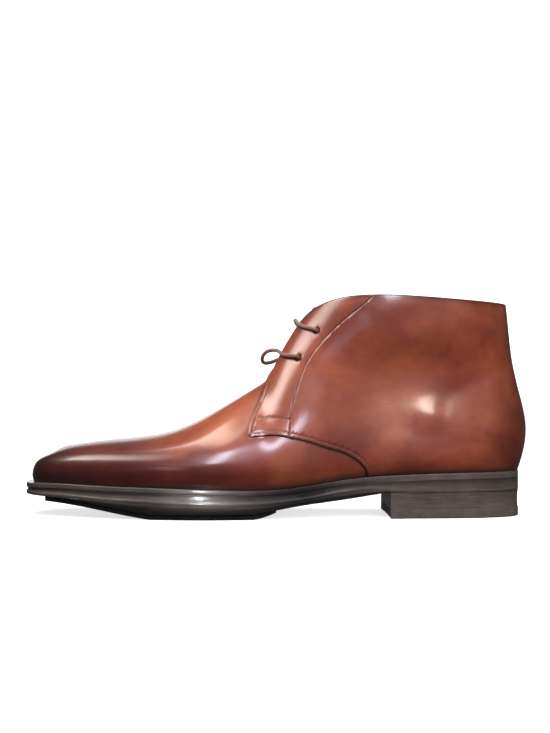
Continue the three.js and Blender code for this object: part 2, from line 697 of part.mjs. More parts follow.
// Heel: the stack and its top lift, cut off at the breast
const BREAST_SKEW = 1.2;
const BREAST_HOLLOW = 1.5;
function behindBreast() {
  const x = xAt(HEEL_BREAST);
  const half = BALL_WIDTH / 2;
  const shape = new THREE.Shape();
  shape.moveTo(x + BREAST_SKEW, -half);
  shape.lineTo(xAt(1) + half, -half);
  shape.lineTo(xAt(1) + half, half);
  shape.lineTo(x - BREAST_SKEW, half);
  shape.quadraticCurveTo(x + 2 * BREAST_HOLLOW, 0, x + BREAST_SKEW, -half);
  const prism = new THREE.ExtrudeGeometry(shape, { depth: REACH, bevelEnabled: false, curveSegments: 6 });
  prism.translate(0, 0, -REACH / 2);
  return solidOf(prism);
}
const HEEL_TUCK = 0.35;
function heelLayer(rings) {
  return geometryFrom(solidOf(layer(rings)).intersect(behindBreast()));
}
function makeHeelStack() {
  const foot = TOP_LIFT_THICKNESS + GAP;
  return heelLayer([
    soleRing(fixed(HEEL_TUCK), fixed(foot)),
    soleRing(fixed(HEEL_TUCK), fixed((foot + HEEL_HEIGHT) / 2)),
    soleRing(fixed(HEEL_TUCK / 2), fixed(HEEL_HEIGHT)),
  ]);
}
function makeTopLift() {
  return heelLayer([
    soleRing(fixed(HEEL_TUCK / 2), fixed(0)),
    soleRing(fixed(0), fixed(LIP_ROUNDING)),
    soleRing(fixed(0), fixed(TOP_LIFT_THICKNESS - LIP_ROUNDING / 2)),
    soleRing(fixed(HEEL_TUCK / 2), fixed(TOP_LIFT_THICKNESS)),
  ]);
}

// Insole: a board inside the wall, whose lower part fills the welt's ring
function makeInsole() {
  const wallInset = (along) => sole.project(along) * WELT_PROJECTION + WALL + 3 * GAP;
  const plugInset = fixed(WELT_WIDTH + GAP);
  const up = (height) => (along) => soleTop(along) + height;
  return layer([
    soleRing(plugInset, up(-WELT_THICKNESS)),
    soleRing(plugInset, up(GAP)),
    soleRing(wallInset, up(GAP)),
    soleRing(wallInset, up(INSOLE_THICKNESS)),
  ]);
}

// Lace bars: drift runs across the throat from the outer to the inner eyelet as a share of the half span,
// lift and slack move the bar up and forwards as shares of the named slack.
const LACE_SIDES = 8;
const LACE_STEPS = 30;
const LOWER_BAR = [
  { drift: -0.74, lift: 0.22, slack: 0.06 },
  { drift: -0.42, lift: 0.55, slack: 0.12 },
  { drift: -0.22, lift: 0.66, slack: 0.45 },
  { drift: -0.04, lift: 0.52, slack: 0.92 },
  { drift: 0.08, lift: 0.02, slack: 1.05 },
  { drift: 0.18, lift: -0.42, slack: 0.75 },
  { drift: 0.32, lift: -0.45, slack: 0.25 },
  { drift: 0.52, lift: -0.28, slack: 0.06 },
  { drift: 0.75, lift: -0.10, slack: 0.03 },
];
const UPPER_BAR = [
  { drift: -0.70, lift: 0.42, slack: 0.04 },
  { drift: -0.35, lift: 0.82, slack: 0.05 },
  { drift: 0.00, lift: 1.00, slack: 0.06 },
  { drift: 0.35, lift: 0.82, slack: 0.05 },
  { drift: 0.70, lift: 0.42, slack: 0.04 },
];
const overQuarter = probe(QUARTER_STEP + GAP + LACE_DIAMETER / 2);
const LACE_END_DEPTH = 2.1;
const LACE_LIFT = 1.3;
function makeBar(table, eyelet) {
  const [outer, inner] = [eyeletPlaces[2 * eyelet], eyeletPlaces[2 * eyelet + 1]];
  const standOff = GAP + LACE_DIAMETER / 2;
  const beside = ({ point, normal }, height) => point.clone().addScaledVector(normal, height);
  const points = [beside(outer, -LACE_END_DEPTH), beside(outer, 0), beside(outer, standOff * LACE_LIFT)];
  for (const { drift, lift, slack } of table) {
    const y = drift < 0 ? -drift * outer.point.y : drift * inner.point.y;
    const z = outer.point.z + lift * LACE_SLACK;
    const { point } = overQuarter(new THREE.Vector3(-REACH, y, z), new THREE.Vector3(1, 0, 0));
    point.x -= slack * LACE_SLACK;
    points.push(point);
  }
  points.push(beside(inner, standOff * LACE_LIFT), beside(inner, 0), beside(inner, -LACE_END_DEPTH));
  const path = new THREE.CatmullRomCurve3(points, false, 'centripetal');
  const rim = [];
  for (let i = 0; i < LACE_SIDES; i += 1) {
    const angle = (2 * Math.PI * i) / LACE_SIDES;
    rim.push(new THREE.Vector2(Math.cos(angle), Math.sin(angle)).multiplyScalar(LACE_DIAMETER / 2));
  }
  const outline = new THREE.Shape(rim);
  return new THREE.ExtrudeGeometry(outline, { steps: LACE_STEPS, bevelEnabled: false, extrudePath: path });
}

// The boot as a scene graph
const leather = { color: 0x6b3024, roughness: 0.3, metalness: 0 };
const soleLeather = { color: 0x4a4039, roughness: 0.45, metalness: 0 };
const looks = {
  upper: leather,
  tongue: { color: 0x4a2219, roughness: 0.5, metalness: 0 },
  insole: { color: 0x9a7350, roughness: 0.7, metalness: 0 },
  welt: soleLeather,
  outsole: soleLeather,
  forepart_tread: { color: 0x1c1a1a, roughness: 0.8, metalness: 0 },
  heel_stack: soleLeather,
  top_lift: { color: 0x504640, roughness: 0.6, metalness: 0 },
  lace_lower: { color: 0x3a2018, roughness: 0.8, metalness: 0 },
  lace_upper: { color: 0x3a2018, roughness: 0.8, metalness: 0 },
};
const pieces = {
  upper: makeUpper(),
  tongue: makeTongue(),
  insole: makeInsole(),
  welt: makeWelt(),
  outsole: makeOutsole(),
  forepart_tread: makeTread(),
  heel_stack: makeHeelStack(),
  top_lift: makeTopLift(),
  lace_lower: makeBar(LOWER_BAR, 0),
  lace_upper: makeBar(UPPER_BAR, 1),
};
const boot = new THREE.Group();
for (const [name, geometry] of Object.entries(pieces)) {
  const mesh = new THREE.Mesh(geometry, new THREE.MeshStandardMaterial(looks[name]));
  mesh.name = name;
  boot.add(mesh);
}

// The boot's origin is the middle of its footprint
const box = new THREE.Box3().setFromObject(boot);
const middle = box.getCenter(new THREE.Vector3());
boot.position.set(-middle.x, -middle.y, 0);
boot.updateMatrixWorld(true);

export default boot;
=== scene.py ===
"""Chukka boot, left foot: burnished red-brown calf on a waxed leather sole.

Metres, in the part's own frame. The toe points to -X, the outer side faces -Y and Z is up.
The form of the last is worked out from the same tables of shares as the part's own solids.
"""

import math

import bpy
import numpy as np
from mathutils import Matrix, Vector
from mathutils.bvhtree import BVHTree


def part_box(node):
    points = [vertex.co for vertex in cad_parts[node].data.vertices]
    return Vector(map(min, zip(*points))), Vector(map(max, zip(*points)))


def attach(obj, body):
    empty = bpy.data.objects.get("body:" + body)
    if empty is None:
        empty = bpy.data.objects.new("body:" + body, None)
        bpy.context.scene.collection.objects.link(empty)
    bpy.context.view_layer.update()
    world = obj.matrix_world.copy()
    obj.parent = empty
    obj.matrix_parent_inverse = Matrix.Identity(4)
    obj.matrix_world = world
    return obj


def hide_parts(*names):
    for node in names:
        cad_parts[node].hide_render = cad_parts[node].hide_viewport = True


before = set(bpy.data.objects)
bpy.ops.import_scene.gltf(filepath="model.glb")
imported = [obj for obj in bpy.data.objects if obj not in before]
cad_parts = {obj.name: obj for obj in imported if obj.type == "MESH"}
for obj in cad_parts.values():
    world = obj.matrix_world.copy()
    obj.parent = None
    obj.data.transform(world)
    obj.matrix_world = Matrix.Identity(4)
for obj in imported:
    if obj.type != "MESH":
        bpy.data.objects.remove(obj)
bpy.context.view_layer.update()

MM = 0.001

# Driving sizes of the last and upper
LENGTH = 307.3 * MM
BALL_WIDTH = 98 * MM
UPPER_RISE = 109 * MM
WALL = 1.8 * MM
QUARTER_STEP = 1.0 * MM
THROAT_WIDTH = 12 * MM
EYELET_DIAMETER = 3.8 * MM
TONGUE_WIDTH = 40 * MM
TONGUE_THICKNESS = 1.8 * MM

# Driving sizes of the sole
TOE_SPRING = 10.2 * MM
HEEL_HEIGHT = 15.5 * MM
SOLE_THICKNESS = 15 * MM
EDGE_DEPTH = 9.5 * MM
UNDERSIDE_BEVEL = 7 * MM
WELT_PROJECTION = 3.6 * MM
WELT_THICKNESS = 3.7 * MM
WELT_WIDTH = 11 * MM
TREAD_THICKNESS = 2.6 * MM
TREAD_INSET = 3 * MM
TOP_LIFT_THICKNESS = 5.4 * MM
INSOLE_THICKNESS = 2.2 * MM
HEEL_BREAST = 0.717
LACE_DIAMETER = 2.4 * MM
LACE_SLACK = 7 * MM
GAP = 0.3 * MM
TOE_X = -152 * MM

# Plan of the widest line of the upper
OUTLINE = (
    ("along", "outer", "inner"),
    (0.000, -0.030, 0.030),
    (0.009, 0.110, 0.170),
    (0.039, 0.212, 0.272),
    (0.088, 0.296, 0.347),
    (0.153, 0.380, 0.416),
    (0.218, 0.440, 0.461),
    (0.293, 0.489, 0.486),
    (0.358, 0.508, 0.467),
    (0.430, 0.494, 0.412),
    (0.520, 0.445, 0.345),
    (0.618, 0.394, 0.312),
    (0.722, 0.362, 0.316),
    (0.820, 0.346, 0.334),
    (0.885, 0.330, 0.334),
    (0.957, 0.262, 0.268),
    (0.986, 0.187, 0.187),
    (1.000, 0.000, 0.000),
)

# Crest of the last in side view
CREST = (
    ("along", "rise", "shift"),
    (0.084, 0.204, 0.024),
    (0.140, 0.231, 0.028),
    (0.221, 0.259, 0.031),
    (0.303, 0.315, 0.031),
    (0.384, 0.435, 0.028),
    (0.423, 0.503, 0.024),
    (0.456, 0.560, 0.018),
    (0.478, 0.610, 0.014),
    (0.495, 0.690, 0.010),
    (0.514, 0.790, 0.006),
    (0.534, 0.878, 0.003),
    (0.553, 0.953, 0.001),
    (0.579, 1.052, 0.000),
    (0.612, 1.188, 0.000),
    (0.664, 1.335, 0.000),
    (0.739, 1.430, 0.000),
    (0.820, 1.458, 0.000),
    (0.870, 1.454, 0.000),
)

# Shape of each section of the upper
SECTIONS = (
    ("along", "belly", "tuck", "mid_reach", "mid_rise", "top_reach", "top_rise"),
    (0.000, 0.046, 0.008, 0.885, 0.420, 0.560, 0.690),
    (0.039, 0.055, 0.012, 0.885, 0.480, 0.570, 0.780),
    (0.104, 0.066, 0.016, 0.880, 0.540, 0.560, 0.860),
    (0.185, 0.083, 0.020, 0.875, 0.550, 0.550, 0.870),
    (0.293, 0.101, 0.028, 0.860, 0.510, 0.520, 0.855),
    (0.377, 0.120, 0.032, 0.825, 0.430, 0.480, 0.800),
    (0.449, 0.137, 0.035, 0.795, 0.370, 0.475, 0.755),
    (0.520, 0.155, 0.035, 0.770, 0.370, 0.490, 0.750),
    (0.560, 0.162, 0.036, 0.775, 0.390, 0.505, 0.785),
    (0.592, 0.165, 0.036, 0.795, 0.390, 0.555, 0.800),
    (0.631, 0.164, 0.036, 0.835, 0.365, 0.700, 0.763),
    (0.674, 0.158, 0.036, 0.870, 0.335, 0.880, 0.685),
    (0.761, 0.158, 0.035, 0.895, 0.310, 1.050, 0.620),
    (0.869, 0.185, 0.036, 0.870, 0.295, 0.980, 0.604),
    (0.957, 0.230, 0.046, 0.815, 0.305, 0.715, 0.690),
    (1.000, 0.266, 0.049, 0.788, 0.310, 0.591, 0.741),
)

# Side of the sole
SOLE = (
    ("along", "toe_rise", "heel_rise", "body", "edge", "bevel", "project"),
    (0.000, 1.00, 0.00, 0.670, 0.76, 0.06, 1.22),
    (0.042, 0.94, 0.00, 0.750, 0.82, 0.22, 1.16),
    (0.111, 0.71, 0.00, 0.890, 0.89, 0.45, 1.08),
    (0.192, 0.28, 0.00, 1.140, 0.95, 0.75, 1.05),
    (0.251, 0.00, 0.00, 1.310, 0.98, 0.92, 1.12),
    (0.348, -0.18, 0.00, 1.380, 1.00, 1.00, 1.10),
    (0.449, -0.01, 0.00, 1.215, 0.98, 0.92, 0.95),
    (0.524, 0.00, 0.27, 0.990, 0.92, 0.72, 0.75),
    (0.605, 0.00, 0.49, 1.000, 0.88, 0.60, 0.62),
    (0.683, 0.00, 0.72, 0.950, 0.88, 0.45, 0.55),
    (0.740, 0.00, 0.90, 0.830, 1.05, 0.06, 0.48),
    (0.859, 0.00, 1.00, 0.800, 1.20, 0.04, 0.36),
    (1.000, 0.00, 1.00, 0.835, 1.25, 0.04, 0.34),
)

# Lines on the side of the upper: share of the length, and share of the upper's rise above the heel seat
COLLAR_LINE = (
    (0.500, 0.710), (0.540, 0.824), (0.563, 0.890), (0.580, 0.925), (0.602, 0.952), (0.630, 0.973),
    (0.667, 0.984), (0.722, 0.984), (0.836, 0.964), (0.962, 0.938), (1.040, 0.921),
)
QUARTER_FRONT = (
    (0.487, 0.590), (0.477, 0.499), (0.468, 0.431), (0.458, 0.363), (0.450, 0.306), (0.445, 0.253),
    (0.443, 0.213),
)
QUARTER_FOOT = (
    (0.447, 0.196), (0.468, 0.201), (0.489, 0.207), (0.523, 0.194), (0.560, 0.172), (0.598, 0.137),
    (0.630, 0.109), (0.653, 0.073), (0.670, 0.029), (0.678, -0.060),
)
FACING_LINE = (
    (0.5225, 0.200), (0.525, 0.271), (0.529, 0.349), (0.537, 0.439), (0.547, 0.528), (0.559, 0.606),
    (0.577, 0.684), (0.605, 0.774), (0.641, 0.866), (0.673, 0.938), (0.689, 0.980),
)
BAR_LINE = ((0.456, 0.292), (0.480, 0.300), (0.505, 0.298), (0.526, 0.292))
EYELETS = ((0.541, 0.638), (0.577, 0.789))
THROAT_FOOT = 0.515
TONGUE_FOOT = 0.470
TONGUE_TOP = 0.930


def spline(places, values):
    """Natural cubic spline through the given places and values, for arrays"""
    places = np.asarray(places, float)
    values = np.asarray(values, float)
    count = len(places)
    width = np.diff(places)
    matrix = np.eye(count)
    right = np.zeros(count)
    for i in range(1, count - 1):
        matrix[i, i - 1 : i + 2] = width[i - 1], 2 * (width[i - 1] + width[i]), width[i]
        right[i] = 6 * ((values[i + 1] - values[i]) / width[i] - (values[i] - values[i - 1]) / width[i - 1])
    curve = np.linalg.solve(matrix, right)

    def at(place):
        place = np.asarray(place, float)
        i = np.clip(np.searchsorted(places, place, side="right") - 1, 0, count - 2)
        a = (places[i + 1] - place) / width[i]
        b = 1 - a
        sag = ((a**3 - a) * curve[i] + (b**3 - b) * curve[i + 1]) * width[i] ** 2 / 6
        return a * values[i] + b * values[i + 1] + sag

    return at


def columns(table):
    """One smooth function for each named column, by the share of the length"""
    names, rows = table[0], np.array(table[1:])
    low, high = rows[0, 0], rows[-1, 0]
    curves = {}
    for k, name in enumerate(names):
        curve = spline(rows[:, 0], rows[:, k])
        curves[name] = lambda along, curve=curve: curve(np.clip(along, low, high))
    return curves


crest = columns(CREST)
section = columns(SECTIONS)
sole = columns(SOLE)


def x_at(along):
    return TOE_X + along * LENGTH


def along_at(x):
    return (x - TOE_X) / LENGTH


# Heights of the sole at a place along the boot


def ground_curve(along):
    return sole["toe_rise"](along) * TOE_SPRING + sole["heel_rise"](along) * HEEL_HEIGHT


def sole_top(along):
    return ground_curve(along) + sole["body"](along) * SOLE_THICKNESS


def tread_ground(along):
    return np.maximum(ground_curve(along), 0)


def outsole_ground(along):
    return np.minimum(tread_ground(along) + TREAD_THICKNESS, HEEL_HEIGHT) + GAP


SEAT_HEIGHT = float(sole_top(1.0))


def rise_at(rise):
    return SEAT_HEIGHT + rise * UPPER_RISE


# Plan outline: turn runs from 0 at the toe tip to 1 at the back of the heel


def along_of_turn(turn):
    return (1 - np.cos(math.pi * turn)) / 2


def outline_curve(wrapped=4):
    rows = np.array(OUTLINE[1:])
    turn = np.arccos(1 - 2 * rows[:, 0]) / math.pi
    outer = np.column_stack([turn, -rows[:, 1]])
    inner = np.column_stack([-turn, rows[:, 2]])[::-1]
    closed = np.vstack([inner, outer[1:]])
    before = closed[-1 - wrapped : -1] - (2, 0)
    after = closed[1 : 1 + wrapped] + (2, 0)
    every = np.vstack([before, closed, after])
    return spline(every[:, 0], every[:, 1])


outline_share = outline_curve()
TOE_FAN = (0.186, 0.45)
HEEL_FAN = (0.228, 0.57)


def crest_along(along):
    """The crest place that a section rises to: sections fan out round the toe and the heel"""
    reach, hold = TOE_FAN
    share = np.clip(along / reach, 0, 1)
    toe = reach * (share + hold * (1 - share) ** 2)
    reach, hold = HEEL_FAN
    share = np.clip((1 - along) / reach, 0, 1)
    heel = 1 - reach * (share + hold * (1 - share) ** 2)
    return np.where(along < TOE_FAN[0], toe, np.where(along > 1 - HEEL_FAN[0], heel, along))


def crest_height(along):
    return sole_top(along) + crest["rise"](along) * UPPER_RISE


def crest_slope(along, step=0.004):
    return (crest_height(along + step) - crest_height(along - step)) / (2 * step * LENGTH)


def section_levels(turn, side):
    """Level points of the sections, from the feather line up to the crest, and the tangent there"""
    along = along_of_turn(turn)
    edge = np.column_stack([x_at(along), outline_share(-side * turn) * BALL_WIDTH])
    top = crest_along(along)
    crown = np.column_stack([x_at(top), crest["shift"](top) * BALL_WIDTH])
    crown_z = crest_height(top)
    out = edge - crown
    reach = np.linalg.norm(out, axis=1)
    out = out / reach[:, None]
    foot = sole_top(along) + GAP
    belly = foot + section["belly"](along) * UPPER_RISE

    def point(distance, height):
        return np.column_stack([crown + out * distance[:, None], height])

    mid = point(reach * section["mid_reach"](along), belly + section["mid_rise"](along) * (crown_z - belly))
    top_reach = reach * section["top_reach"](along)
    high = point(top_reach, belly + section["top_rise"](along) * (crown_z - belly))
    levels = np.stack(
        [
            point(reach - section["tuck"](along) * BALL_WIDTH, foot),
            point(reach, belly),
            mid,
            high,
            np.column_stack([crown, crown_z]),
        ],
        axis=1,
    )
    roundness = 1.25
    run = -top_reach * roundness
    tangent = np.column_stack([out * run[:, None], crest_slope(top) * out[:, 0] * run])
    return levels, tangent, foot


def level_points(levels, tangent, steps):
    """Points of every section at the given levels, as an array of level, section and axis"""
    count = levels.shape[1]
    matrix = np.eye(count)
    right = np.zeros_like(levels)
    for i in range(1, count - 1):
        matrix[i, i - 1 : i + 2] = 1, 4, 1
        right[:, i] = 6 * (levels[:, i + 1] - 2 * levels[:, i] + levels[:, i - 1])
    matrix[-1, -2:] = 1, 2
    right[:, -1] = 6 * (tangent - (levels[:, -1] - levels[:, -2]))
    curve = np.einsum("ij,sjk->sik", np.linalg.inv(matrix), right)
    made = []
    for step in steps:
        i = min(int(step), count - 2)
        b = step - i
        a = 1 - b
        sag = ((a**3 - a) * curve[:, i] + (b**3 - b) * curve[:, i + 1]) / 6
        made.append(a * levels[:, i] + b * levels[:, i + 1] + sag)
    return np.array(made)


# A ring runs round the boot: the outer side from toe tip to heel back, then the inner side to the toe again


class Ring:
    def __init__(self, steps):
        self.steps = steps
        self.size = 2 * steps
        k = np.arange(self.size)
        self.turn = np.where(k <= steps, k, self.size - k) / steps
        self.side = np.where(k <= steps, -1.0, 1.0)
        self.levels, self.tangent, self.foot = section_levels(self.turn, self.side)
        feather = self.levels[:, 0]
        flow = np.roll(feather, -1, axis=0) - np.roll(feather, 1, axis=0)
        normal = np.column_stack([flow[:, 1], -flow[:, 0], np.zeros(self.size)])
        self.normal = normal / np.linalg.norm(normal, axis=1)[:, None]
        self.feather = feather

    def side_faces(self, lower, upper):
        i = np.arange(self.size)
        n = (i + 1) % self.size
        return np.column_stack([lower(i), lower(n), upper(n), upper(i)])

    def cap_faces(self, index, facing_up):
        faces = []
        for i in range(self.steps):
            here, there = (self.size - i) % self.size, (self.size - i - 1) % self.size
            corners = [i, i + 1] + ([there] if i < self.steps - 1 else []) + ([here] if i > 0 else [])
            corners = [int(index(c)) for c in corners]
            faces.append(corners if facing_up else corners[::-1])
        return faces

    def sole_ring(self, inset, height):
        along = along_of_turn(self.turn)
        inset = inset(along) if callable(inset) else inset
        out = sole["project"](along) * WELT_PROJECTION - inset
        place = self.feather + self.normal * np.asarray(out).reshape(-1, 1)
        own = np.clip(along_at(place[:, 0]), 0, 1)
        place[:, 2] = height(own) if callable(height) else height
        return place


CAD_STATIONS = 42
cad_ring = Ring(CAD_STATIONS)
cad_edge = cad_ring.sole_ring(0.0, sole_top)
welt_low, welt_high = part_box("welt")
welt_middle = (np.array(welt_low) + np.array(welt_high)) / 2
edge_middle = (cad_edge.min(axis=0) + cad_edge.max(axis=0)) / 2
SHIFT = (welt_middle - edge_middle) * (1, 1, 0)

# Mesh helpers


def make_object(name, points, faces, material, attributes=None, face_materials=None):
    mesh = bpy.data.meshes.new(name)
    mesh.from_pydata((np.asarray(points) + SHIFT).tolist(), [], [list(map(int, f)) for f in faces])
    mesh.validate()
    mesh.update()
    for item in material if isinstance(material, (list, tuple)) else [material]:
        mesh.materials.append(item)
    if face_materials is not None:
        mesh.polygons.foreach_set("material_index", np.asarray(face_materials, dtype=np.int32))
    mesh.polygons.foreach_set("use_smooth", [True] * len(mesh.polygons))
    for key, values in (attributes or {}).items():
        layer = mesh.attributes.new(key, "FLOAT", "POINT")
        layer.data.foreach_set("value", np.asarray(values, dtype=np.float32))
    obj = bpy.data.objects.new(name, mesh)
    bpy.context.scene.collection.objects.link(obj)
    return obj


def settle(obj, slot, *nodes):
    """The piece rides on the boot and may stand for solids of the part, which are hidden; the slot is not
    used
    """
    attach(obj, "root")
    if nodes:
        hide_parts(*nodes)
    return obj


def vertex_normals(points, triangles):
    a, b, c = (points[triangles[:, k]] for k in range(3))
    face = np.cross(b - a, c - a)
    normal = np.zeros_like(points)
    for k in range(3):
        np.add.at(normal, triangles[:, k], face)
    return normal / np.maximum(np.linalg.norm(normal, axis=1), 1e-12)[:, None]


def smooth_step(value, low, high):
    share = np.clip((value - low) / (high - low), 0, 1)
    return share * share * (3 - 2 * share)


def near(away, width):
    """One on a line or spot, and next to nothing two widths away from it"""
    return np.exp(-((away / width) ** 2))


def path_run(points):
    """Distance along a path at each of its points"""
    return np.concatenate([[0], np.cumsum(np.linalg.norm(np.diff(points, axis=0), axis=1))])


def line_points(line, fineness=24):
    """Smooth curve through a drawn line, as places in side view"""
    rows = np.array(line)
    rows = np.column_stack([x_at(rows[:, 0]), rise_at(rows[:, 1])])
    run = path_run(rows)
    steps = np.linspace(0, run[-1], fineness * len(rows))
    return np.column_stack([spline(run, rows[:, 0])(steps), spline(run, rows[:, 1])(steps)])


# Fine form of the upper


def upper_grid(stations, level_counts):
    """Points and triangles of the outer surface of the vamp, from the feather line to the crest"""
    ring = Ring(stations)
    steps = [0.0]
    for k, count in enumerate(level_counts):
        steps += [k + (j + 1) / count for j in range(count)]
    grid = level_points(ring.levels, ring.tangent, steps)
    rows = len(steps)
    crown = grid[-1][: stations + 1]
    points = np.vstack([grid[:-1].reshape(-1, 3), crown])
    crown_start = (rows - 1) * ring.size

    def lower(j):
        return lambda i: j * ring.size + i

    def crown_index(i):
        return crown_start + np.minimum(i, ring.size - i)

    quads = []
    for j in range(rows - 1):
        quads.append(ring.side_faces(lower(j), crown_index if j + 1 == rows - 1 else lower(j + 1)))
    quads = np.vstack(quads)
    first = quads[:, [0, 1, 2]]
    second = quads[:, [0, 2, 3]]
    triangles = np.vstack([first, second])
    distinct = (
        (triangles[:, 0] != triangles[:, 1])
        & (triangles[:, 1] != triangles[:, 2])
        & (triangles[:, 0] != triangles[:, 2])
    )
    return points, triangles[distinct]


CUT_SNAP = 0.03 * MM


class Surface:
    """A triangle surface that can be cut along the level lines of a field"""

    def __init__(self, points, triangles):
        self.points = points
        self.triangles = triangles
        self.normals = vertex_normals(points, triangles)

    def cut(self, field, level, area=None):
        """Splits the triangles that a level line of the field crosses, all over or in one area"""
        value = field(self.points) - level
        value[np.abs(value) < CUT_SNAP] = 0.0
        tri = self.triangles
        count = len(self.points)
        sides = np.sort(np.stack([tri, np.roll(tri, -1, axis=1)], axis=2), axis=2)
        keys = sides[:, :, 0] * count + sides[:, :, 1]
        edges = np.unique(keys)
        a, b = edges // count, edges % count
        crossing = value[a] * value[b] < 0
        if area is not None:
            within = area(self.points)
            crossing &= within[a] & within[b]
        edges, a, b = edges[crossing], a[crossing], b[crossing]
        if not len(edges):
            return
        share = (value[a] / (value[a] - value[b]))[:, None]
        normals = self.normals[a] * (1 - share) + self.normals[b] * share
        self.points = np.vstack([self.points, self.points[a] * (1 - share) + self.points[b] * share])
        self.normals = np.vstack([self.normals, normals / np.linalg.norm(normals, axis=1)[:, None]])
        split = np.isin(keys, edges)
        middles = np.where(split, count + np.searchsorted(edges, keys).clip(max=len(edges) - 1), -1)
        touched = split.any(axis=1)
        made = []
        for corners, mids in zip(tri[touched].tolist(), middles[touched].tolist()):
            if mids.count(-1) == 2:
                k = next(k for k in range(3) if mids[k] >= 0)
                p, q, r, m = corners[k], corners[(k + 1) % 3], corners[(k + 2) % 3], mids[k]
                made += [(p, m, r), (m, q, r)]
            else:
                k = mids.index(-1)
                r, p, q = corners[k], corners[(k + 1) % 3], corners[(k + 2) % 3]
                after_p, after_q = mids[(k + 1) % 3], mids[(k + 2) % 3]
                made += [(after_p, q, after_q), (p, after_p, after_q), (r, p, after_q)]
        self.triangles = np.vstack([tri[~touched], np.array(made)])

    def remove(self, field):
        """Takes away the triangles whose middle lies where the field is positive"""
        middle = self.points[self.triangles].mean(axis=1)
        self.triangles = self.triangles[field(middle) <= 0]
        used = np.unique(self.triangles)
        index = -np.ones(len(self.points), int)
        index[used] = np.arange(len(used))
        self.points = self.points[used]
        self.normals = self.normals[used]
        self.triangles = index[self.triangles]


def rim_edges(triangles):
    """Directed edges on the rim of a surface"""
    edges = np.vstack([triangles[:, [0, 1]], triangles[:, [1, 2]], triangles[:, [2, 0]]])
    known = set(map(tuple, edges.tolist()))
    return np.array([e for e in edges.tolist() if (e[1], e[0]) not in known])


# Drawn lines as fields: each gives the distance inwards from a line, in metres


def distance_to(points, line):
    """Distance in side view from each point to a drawn line"""
    flat = points[:, [0, 2]]
    nearest = np.full(len(flat), np.inf)
    for start, end in zip(line[:-1], line[1:]):
        run = end - start
        share = np.clip(((flat - start) @ run) / (run @ run), 0, 1)
        gap = flat - start - share[:, None] * run
        nearest = np.minimum(nearest, (gap**2).sum(axis=1))
    return np.sqrt(nearest)


def is_inside(points, polygon):
    """Which points lie inside a polygon in side view"""
    x, z = points[:, 0], points[:, 2]
    within = np.zeros(len(points), bool)
    for (x1, z1), (x2, z2) in zip(polygon, np.roll(polygon, -1, axis=0)):
        if z1 == z2:
            continue
        spans = (z1 > z) != (z2 > z)
        within ^= spans & (x < (x2 - x1) * (z - z1) / (z2 - z1) + x1)
    return within


# Beyond the boot, and how far the edges of quarter and collar rise on their way there
FAR = 0.4
QUARTER_FRONT_RISE = 10 * MM
COLLAR_FRONT_RISE = 60 * MM
THROAT_SPAN = (0.36, 0.70)
quarter_line = np.vstack([line_points(QUARTER_FRONT), line_points(QUARTER_FOOT)])
quarter_area = np.vstack(
    [
        [(-FAR, quarter_line[0, 1] + QUARTER_FRONT_RISE)],
        quarter_line,
        [(FAR, -FAR), (FAR, FAR), (-FAR, FAR)],
    ]
)
collar_line = line_points(COLLAR_LINE)
collar_area = np.vstack(
    [
        [(-FAR, collar_line[0, 1] + COLLAR_FRONT_RISE)],
        collar_line,
        [(FAR, collar_line[-1, 1]), (FAR, FAR), (-FAR, FAR)],
    ]
)
facing_line = line_points(FACING_LINE)
bar_line = line_points(BAR_LINE)


def between(points, span):
    """Which points lie between two shares of the length"""
    start, end = span
    return (points[:, 0] > x_at(start)) & (points[:, 0] < x_at(end))


def quarter_field(points):
    """Positive inside the quarters, by the distance from their edge"""
    return np.where(is_inside(points, quarter_area), 1, -1) * distance_to(points, quarter_line)


def collar_field(points):
    """Positive above the collar"""
    return np.where(is_inside(points, collar_area), 1, -1) * distance_to(points, collar_line)


def throat_field(points):
    """Positive inside the slot between the facings"""
    half = THROAT_WIDTH / 2
    middle = rise_at(THROAT_FOOT) + half
    depth = half - np.hypot(points[:, 1], np.minimum(points[:, 2] - middle, 0))
    return np.where(between(points, THROAT_SPAN), depth, -FAR)


def facing_side(points):
    """Distance from the facing seam, negative towards the throat"""
    rows = facing_line
    side = np.interp(points[:, 2], rows[:, 1], rows[:, 0])
    return np.where(points[:, 0] < side, -1, 1) * distance_to(points, rows)


def bar_side(points):
    """Distance from the bar seam, negative below it"""
    rows = bar_line
    side = np.interp(points[:, 0], rows[:, 0], rows[:, 1])
    return np.where(points[:, 2] < side, -1, 1) * distance_to(points, rows)


# Upper: the outer surface is cut along its edges and seams, then closed with a lining

GRID_STATIONS = 240
GRID_LEVELS = (14, 18, 22, 24)
EDGE_ROUNDING = 0.9 * MM
STITCH_INSET = 2.4 * MM
SEAM_HALF_WIDTH = 0.45 * MM
HOLE_REACH = 8 * MM
RIM_BULGE = 0.35 * MM
FOOT_MARGIN = 0.2 * MM

# Levels at which the surface is cut along each edge and seam, and how wide a zone each cut may touch
RIM_CUTS = (0.0, -0.4 * MM, -1.0 * MM)
HOLE_CUTS = (0.0, -0.5 * MM, -1.3 * MM)
QUARTER_CUTS = (-0.6 * MM, 0.0, 0.14 * MM, 0.7 * MM)
STITCH_CUTS = (STITCH_INSET - SEAM_HALF_WIDTH, STITCH_INSET, STITCH_INSET + SEAM_HALF_WIDTH)
SEAM_CUTS = (0.0, -SEAM_HALF_WIDTH, SEAM_HALF_WIDTH)
QUARTER_ZONE = 9 * MM
SEAM_ZONE = 4 * MM

